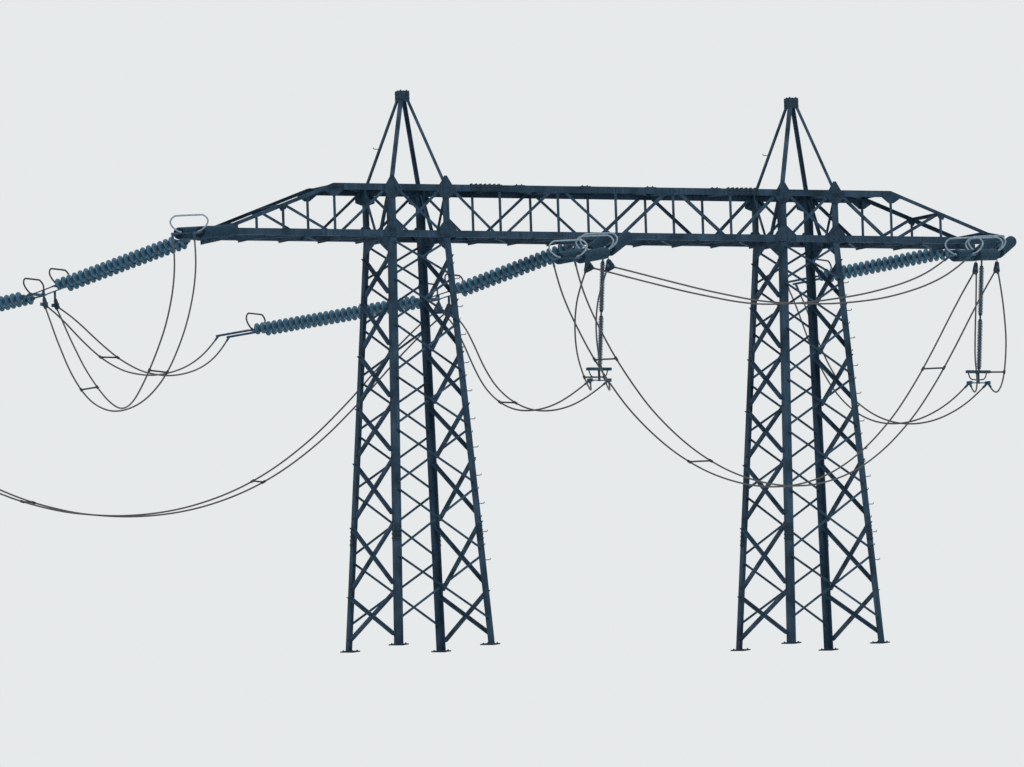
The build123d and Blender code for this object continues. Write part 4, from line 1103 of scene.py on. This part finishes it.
def beam_bolts(sy):
    """Bolts on one face of the beam: haunch plates, ends, joints and posts."""
    skin = sy * (CHORD_Y + PLATE_THICK)
    facing = Vector((0, sy, 0))
    for centre, sx in product(MASTS.values(), (-1, 1)):
        x = centre + sx * (HALF_X - LEG_SIZE / 2)
        for steps, inset in HAUNCH_BOLTS:
            for dx, z in product(steps, (BEAM_BOTTOM + inset, BEAM_TOP - inset)):
                yield Vector((x + dx, skin, z)), facing
    for sx in (-1, 1):
        for x in TIP_BOLTS:
            yield Vector((sx * x, skin, BEAM_BOTTOM + CHORD_BOLT_INSET)), facing
        for joint, pitch in JOINT_BOLTS:
            for x in (joint - pitch, joint, joint + pitch):
                yield Vector((sx * x, skin, top_line(x) - CHORD_BOLT_INSET)), facing
    steps = (-POST_BOLT_PITCH, 0, POST_BOLT_PITCH)
    for (post, levels), dx in product(POST_BOLT_LEVELS.items(), steps):
        for z in (BEAM_BOTTOM + WEB_INSET, BEAM_TOP - WEB_INSET)[:levels]:
            yield Vector((post * POST_PITCH + dx, sy * CHORD_Y, z)), facing


def splice_bolts():
    """Bolts of the splice plates, in rows along each."""
    for matrix, length, along, rows in splice_plates():
        normal = matrix.to_3x3() @ UP
        for i, j in product(range(along), range(rows)):
            u = length * ((i + 0.5) / along - 0.5)
            v = SPLICE_WIDTH * ((j + 0.5) / rows - 0.5)
            yield matrix @ Vector((u, v, SPLICE_THICK)), normal


def head_bolts(centre):
    """Bolts on the top and the sides of one peak's head."""
    for u in (-HEAD_BOLT, HEAD_BOLT):
        for v in (-HEAD_BOLT, HEAD_BOLT):
            yield Vector((centre + u, v, PEAK_TOP + HEAD_HEIGHT)), UP
        for sign, z in product((-1, 1), HEAD_BOLT_ROWS):
            reach = sign * HEAD_SIZE / 2
            yield Vector((centre + reach, u, PEAK_TOP + z)), Vector((sign, 0, 0))
            yield Vector((centre + u, reach, PEAK_TOP + z)), Vector((0, sign, 0))


def cord_points(name):
    """Points read from a cord's curve, without its bevel."""
    cord = bpy.data.objects.get(name)
    if cord is None:
        raise RuntimeError(f"{name} isn't strung yet")
    data = cord.data.copy()
    data.bevel_depth = 0
    line = link(bpy.data.objects.new("line", data))
    graph = bpy.context.evaluated_depsgraph_get()
    mesh = bpy.data.meshes.new_from_object(line.evaluated_get(graph))
    bpy.data.objects.remove(line)
    return [vertex.co.copy() for vertex in mesh.vertices]


# Operators
class PYLON_OT_camera(bpy.types.Operator):
    """Place the camera where the beam and masts line up with the picture"""

    bl_idname = "pylon.camera"
    bl_label = "Camera"

    def execute(self, context):
        az, el, roll = CAMERA_AZIMUTH, CAMERA_ELEVATION, CAMERA_ROLL
        sight = Vector((sin(az) * cos(el), cos(az) * cos(el), sin(el)))
        level = Vector((cos(az), -sin(az), 0))
        up = level.cross(sight)
        right = level * cos(roll) + up * sin(roll)
        top = up * cos(roll) - level * sin(roll)
        data = bpy.data.cameras.new("camera")
        data.sensor_width = CAMERA_SENSOR
        data.lens = CAMERA_LENS
        data.clip_start, data.clip_end = CAMERA_CLIP
        camera = link(bpy.data.objects.new("camera", data))
        turn = Matrix((right, top, -sight)).transposed().to_4x4()
        camera.matrix_world = Matrix.Translation(CAMERA_PLACE) @ turn
        context.scene.camera = camera
        return {"FINISHED"}


class PYLON_OT_jumpers(bpy.types.Operator):
    """String the twin jumper conductors between the clamps"""

    bl_idname = "pylon.jumpers"
    bl_label = "Jumpers"

    def execute(self, context):
        sizes = context.scene.pylon_jumpers
        _, ends = plan_sets(context.scene.pylon_strings.disc_pitch)
        for jumper, (word, side) in product(JUMPERS, TWINS.items()):
            if f"jumper_{jumper}" not in NODES:
                raise RuntimeError(f"The frame has no jumper_{jumper}")
            points = conductor(jumper, side, ends)
            data = bpy.data.curves.new(f"{jumper}_{word}", "CURVE")
            data.dimensions = "3D"
            data.resolution_u = CORD_STEPS
            data.bevel_depth = sizes.diameter / 2
            data.bevel_resolution = CORD_ROUNDING
            data.use_fill_caps = True
            spline = data.splines.new("NURBS")
            spline.points.add(len(points) - 1)
            for knot, point in zip(spline.points, points):
                knot.co = (*point, 1)
            spline.order_u = 3
            spline.use_endpoint_u = True
            ob = link(bpy.data.objects.new(f"{jumper}_{word}_conductor", data))
            length = spline.calc_length()
            data.materials.append(aluminium(f"{jumper} {word} strands", sizes.colour, length))
            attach(ob, BODY)
            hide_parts(f"jumper_{jumper}")
            tuple(points[0])
        return {"FINISHED"}


class PYLON_OT_steel(bpy.types.Operator):
    """Give the frame's steel its weathered zinc"""

    bl_idname = "pylon.steel"
    bl_label = "Steel finish"

    def execute(self, context):
        steel = context.scene.pylon_steel
        for slot, shares in STEEL_FINISHES.items():
            look = steel_finish(steel, *shares)
            nodes = [s["node"] for s in frame["record"]["subparts"] if s["material_slot"] == slot]
            places = [place for node in nodes for place in NODES[node].material_slots]
            if not places:
                raise RuntimeError(f"No node of the frame has the slot {slot}")
            for place in places:
                place.material = look
        return {"FINISHED"}


class PYLON_OT_strings(bpy.types.Operator):
    """Thread the glass discs and their caps on the tension sets"""

    bl_idname = "pylon.strings"
    bl_label = "Disc strings"

    def execute(self, context):
        sizes = context.scene.pylon_strings
        size = (sizes.disc_radius, sizes.disc_pitch)
        planes, _ = plan_sets(sizes.disc_pitch)
        units = {
            "discs": (
                lathe("disc", DISC_SHELL, DISC_SIDES, *size), "disc_glass",
                glass("disc glass", sizes.glass, *DISC_GLASS),
            ),
            # The lips are the disc glass in a darker colour, painted shade on the lip and hollow
            # side.
            "rims": (
                lathe("rim", DISC_LIP, DISC_SIDES, *size), "disc_glass",
                glass("lip glass", sizes.rim, *SHADED_LIP_GLASS),
            ),
            "caps": (
                lathe("cap", DISC_CAP, CAP_SIDES, *size), "fitting_steel", finish("cap zinc"),
            ),
        }
        for name, (_, _, link_length, _, counts) in SETS.items():
            inner, _, outer, _ = planes[name]
            starts = (offset(inner, link_length + YOKE_LENGTH), offset(outer, OUTER_LINK))
            for word, (unit, slot, look) in units.items():
                mesh = joined(f"{name}_{word}", [
                    moved(repeated(unit, look, count, sizes.disc_pitch, strings=2), start)
                    for start, count in zip(starts, counts)
                ])
                piece(f"{name}_{word}", mesh, slot, look, [f"{name}_insulators"])
        return {"FINISHED"}


class PYLON_OT_rods(bpy.types.Operator):
    """Put the sheds on the hanging sets' rod units"""

    bl_idname = "pylon.rods"
    bl_label = "Rod units"

    def execute(self, context):
        count = context.scene.pylon_strings.sheds
        pitch = (ROD_LENGTH - 2 * ROD_ENDS) / count
        shed = lathe("shed", SHED, ROD_SIDES, high=pitch)
        cap = lathe("end", ROD_END, ROD_SIDES)
        look = rubber("shed rubber")
        ends = []
        for name, x in HANG_TOPS.items():
            top = Vector((x, 0, BEAM_BOTTOM - HANGER_SIZE))
            low = Vector((x - HANG_LEAN, 0, HANG_CLAMP_Z))
            line = set_matrix(top, WAYS[1], low - top)
            units = []
            for start in (HANG_LINK, HANG_LINK + ROD_LENGTH + ROD_GAP):
                row_start = offset(line, start + ROD_ENDS)
                units.append(moved(repeated(shed, look, count, pitch), row_start))
                for at, turn in ((start, 0), (start + ROD_LENGTH, pi)):
                    place = offset(line, at) @ Matrix.Rotation(turn, 4, "X")
                    ends.append(moved(cap.copy(), place))
            mesh = joined(f"hanging_{name}_sheds", units)
            piece(f"hanging_{name}_sheds", mesh, "rod_sheds", look, [f"hanging_{name}_rods"])
        mesh = joined("hanging_rod_ends", ends)
        rods = [f"hanging_{name}_rods" for name in HANG_TOPS]
        piece("hanging_rod_ends", mesh, "fitting_steel", finish("end zinc"), rods)
        return {"FINISHED"}


class PYLON_OT_rings(bpy.types.Operator):
    """Bend the arcing rings over the yokes and the hoops under the hanging sets"""

    bl_idname = "pylon.rings"
    bl_label = "Arcing rings"

    def execute(self, context):
        planes, _ = plan_sets(context.scene.pylon_strings.disc_pitch)
        ring = mirrored([Vector((u, v + YOKE_THICK / 2, 0)) for u, v in RING_LINE])
        tubes = {face: bmesh.new() for face in FACES}
        for name, (face, _, _, _, counts) in SETS.items():
            bm = tubes[face]
            _, node, _, live = planes[name]
            seats = [offset(live, RING_BAR / 2)]
            if len(counts) == 2:
                seats += [
                    offset(node, RING_GAP + RING_BAR / 2), offset(node, MID_NODE - RING_BAR / 2),
                ]
            for seat in seats:
                points = smooth_line([seat @ p for p in ring])
                tube(bm, points, RING_BARREL)
                for foot, way in ((points[0], points[2]), (points[-1], points[-3])):
                    along = (way - foot).normalized()
                    tube(bm, [foot, foot + along * SOCKET_LENGTH], RING_SOCKET)
                    tube(bm, [foot + along * at for at in RING_NUT_SPAN], RING_NUT)
        for face, bm in tubes.items():
            mesh = to_mesh(f"{face}_ring_tubes", bm, smooth=True)
            # Near rings get zinc painted light as sunlight, far rings the same zinc painted dark
            # as shade.
            look = finish(RING_LIGHT_AND_SHADE[face])
            piece(f"{face}_ring_tubes", mesh, "fitting_steel", look, ["arcing_rings"])
        bm = bmesh.new()
        hoop = mirrored([Vector((u, 0, -v)) for u, v in HOOP_LINE])
        for x in HANG_TOPS.values():
            under = Vector((x - HANG_LEAN, HOOP_Y, HANG_CLAMP_Z + YOKE_RISE - HANG_YOKE / 2))
            tube(bm, smooth_line([under + p for p in hoop]), HOOP_BARREL)
        mesh = to_mesh("hanging_hoops", bm, smooth=True)
        piece("hanging_hoops", mesh, "fitting_steel", finish("hoop zinc"), ["arcing_rings"])
        return {"FINISHED"}


class PYLON_OT_castings(bpy.types.Operator):
    """Cast the cheeks of the clamps under the mid-set yokes"""

    bl_idname = "pylon.castings"
    bl_label = "Clamp castings"

    def execute(self, context):
        _, ends = plan_sets(context.scene.pylon_strings.disc_pitch)
        clamps = [key for key in ends if key[1] == "clamp"]
        bm = bmesh.new()
        for key, side in product(clamps, TWINS.values()):
            low, across = ends[key]
            centre = low + across * (side * STRING_GAP / 2)
            ways = [UP]
            for jumper, route in JUMPERS.items():
                if key in route[:2]:
                    first = conductor(jumper, side, ends)[0 if route[0] == key else -1]
                    ways.append((first - centre).normalized())
            if len(ways) != 3:
                raise RuntimeError(f"{key[0]} clamp needs two conductors")
            shape = to_mesh("casting", cheek(centre, ways))
            bm.from_mesh(shape)
            bpy.data.meshes.remove(shape)
        mesh = to_mesh("clamp_castings", bm)
        piece("clamp_castings", mesh, "fitting_steel", finish("casting zinc"))
        return {"FINISHED"}


class PYLON_OT_splices(bpy.types.Operator):
    """Cover the joints of the legs and top chords with plates"""

    bl_idname = "pylon.splices"
    bl_label = "Splice plates"

    def execute(self, context):
        bm = bmesh.new()
        for matrix, length, _, _ in splice_plates():
            boxed(bm, matrix, (length, SPLICE_WIDTH, SPLICE_THICK), (0, 0, SPLICE_THICK / 2))
        look = steel_finish(context.scene.pylon_steel, *SPLICE_FINISH)
        piece("splice_plates", to_mesh("splice_plates", bm), "plate_steel", look)
        return {"FINISHED"}


class PYLON_OT_steps(bpy.types.Operator):
    """Screw the step bolts into the climbing leg of each mast"""

    bl_idname = "pylon.steps"
    bl_label = "Step bolts"

    def execute(self, context):
        bm = bmesh.new()
        tube(bm, [Vector(p) for p in STEP_LINE], STEP_BARREL)
        tube(bm, [Vector((x, 0, 0)) for x in (0, STEP_NUT_LENGTH)], STEP_NUT)
        unit = to_mesh("peg", bm)
        look = finish("step zinc")
        up = Vector((-BATTER_X, BATTER_Y, 1)).normalized()
        right, near = WAYS[0], WAYS[3]
        pegs = []
        for centre in MASTS.values():
            for out, side, lift in ((right, near, 0), (near, right, STEP_PITCH / 2)):
                low = STEP_LOW + lift
                reach = half_width(side, low) - LEG_SIZE * STEP_INSET_SHARE
                start = side_point(centre, out, side, reach, low)
                flat = (out - up * out.dot(up)).normalized()
                ladder = repeated(unit, look, STEP_COUNT, STEP_PITCH / up.z)
                pegs.append(moved(ladder, set_matrix(start, flat, up)))
            spot = PEAK_STEP + Vector((centre, 0, 0))
            pegs.append(moved(unit.copy(), set_matrix(spot, WAYS[2], UP)))
        piece("step_bolts", joined("step_bolts", pegs), "fitting_steel", look)
        return {"FINISHED"}


class PYLON_OT_bolts(bpy.types.Operator):
    """Bolt the bracing, gussets and feet"""

    bl_idname = "pylon.bolts"
    bl_label = "Bolts"

    def execute(self, context):
        # The random turn goes by a bolt's place in this order
        places = []
        for centre in MASTS.values():
            places += [*panel_bolts(centre), *anchor_bolts(centre)]
        for sy in FACES.values():
            places += beam_bolts(sy)
        places += splice_bolts()
        for centre in MASTS.values():
            places += head_bolts(centre)
        across = context.scene.pylon_steel.bolt_across
        values = {
            "Across": across, "Height": across * BOLT_HEIGHT_SHARE, "Seed": BOLT_SEED,
            "Material": finish("bolt zinc"),
        }
        mesh = grown("structure_bolts", point_mesh("bolt places", places), bolt_tree(), values)
        piece("structure_bolts", mesh, "fitting_steel")
        return {"FINISHED"}


class PYLON_OT_spacers(bpy.types.Operator):
    """Clamp the spacer bars across the jumper pairs"""

    bl_idname = "pylon.spacers"
    bl_label = "Spacer bars"

    def execute(self, context):
        diameter = context.scene.pylon_jumpers.diameter
        clamp = (diameter * SPACER_CLAMP_SHARE, SPACER_CLAMP_SIDES)
        bm = bmesh.new()
        for jumper, shares in SPACERS.items():
            lines = [cord_points(f"{jumper}_{word}_conductor") for word in TWINS]
            for share in shares:
                at = round(share * (len(lines[0]) - 1))
                tube(bm, [line[at] for line in lines], SPACER_BARREL)
                for line in lines:
                    half = (line[at + 1] - line[at - 1]).normalized() * SPACER_CLAMP
                    tube(bm, [line[at] - half, line[at] + half], clamp)
        mesh = to_mesh("jumper_spacers", bm)
        piece("jumper_spacers", mesh, "fitting_steel", finish("spacer zinc"))
        return {"FINISHED"}


class PYLON_OT_stage(bpy.types.Operator):
    """Lay the pale floor and hang the soft light"""

    bl_idname = "pylon.stage"
    bl_label = "Stage"

    def execute(self, context):
        stage = context.scene.pylon_stage
        bpy.ops.mesh.primitive_plane_add(size=FLOOR_SIZE, location=(0, 0, -FLOOR_DROP))
        floor = context.active_object
        floor.name = "floor"
        floor.data.materials.append(floor_paint(stage.floor))
        context.scene.world = soft_sky(stage.floor)
        lamp = bpy.data.lights.new("soft sun", "SUN")
        lamp.energy = stage.sun
        lamp.angle = SUN_SPREAD
        sun = link(bpy.data.objects.new("soft sun", lamp))
        sun.rotation_euler = SUN_TURN
        context.scene.view_settings.view_transform = "Standard"
        return {"FINISHED"}


OPERATORS = (
    PYLON_OT_camera, PYLON_OT_jumpers, PYLON_OT_steel, PYLON_OT_strings, PYLON_OT_rods,
    PYLON_OT_rings, PYLON_OT_castings, PYLON_OT_splices, PYLON_OT_steps, PYLON_OT_bolts,
    PYLON_OT_spacers, PYLON_OT_stage,
)
SETTINGS = {
    "pylon_steel": PylonSteel, "pylon_strings": PylonStrings, "pylon_jumpers": PylonJumpers,
    "pylon_stage": PylonStage,
}


class PYLON_PT_panel(bpy.types.Panel):
    """Lists the pylon's operators and sizes"""

    bl_label = "Pylon"
    bl_idname = "PYLON_PT_panel"
    bl_space_type = "VIEW_3D"
    bl_region_type = "UI"
    bl_category = "Pylon"

    def draw(self, context):
        for name, group in SETTINGS.items():
            box = self.layout.box()
            for key in group.__annotations__:
                box.prop(getattr(context.scene, name), key)
        for operator in OPERATORS:
            self.layout.operator(operator.bl_idname)


def register():
    """Registers the sizes, the operators and the panel."""
    for name, group in SETTINGS.items():
        bpy.utils.register_class(group)
        setattr(bpy.types.Scene, name, PointerProperty(type=group))
    for made in (*OPERATORS, PYLON_PT_panel):
        bpy.utils.register_class(made)


def unregister():
    """Takes them away again."""
    for made in (PYLON_PT_panel, *OPERATORS):
        bpy.utils.unregister_class(made)
    for name, group in SETTINGS.items():
        delattr(bpy.types.Scene, name)
        bpy.utils.unregister_class(group)


def main():
    """Makes every piece in order."""
    register()
    bpy.ops.pylon.camera()
    bpy.ops.pylon.jumpers()
    bpy.ops.pylon.steel()
    bpy.ops.pylon.strings()
    bpy.ops.pylon.rods()
    bpy.ops.pylon.rings()
    bpy.ops.pylon.castings()
    bpy.ops.pylon.splices()
    bpy.ops.pylon.steps()
    bpy.ops.pylon.bolts()
    bpy.ops.pylon.spacers()
    bpy.ops.pylon.stage()


if __name__ == "__main__":
    main()
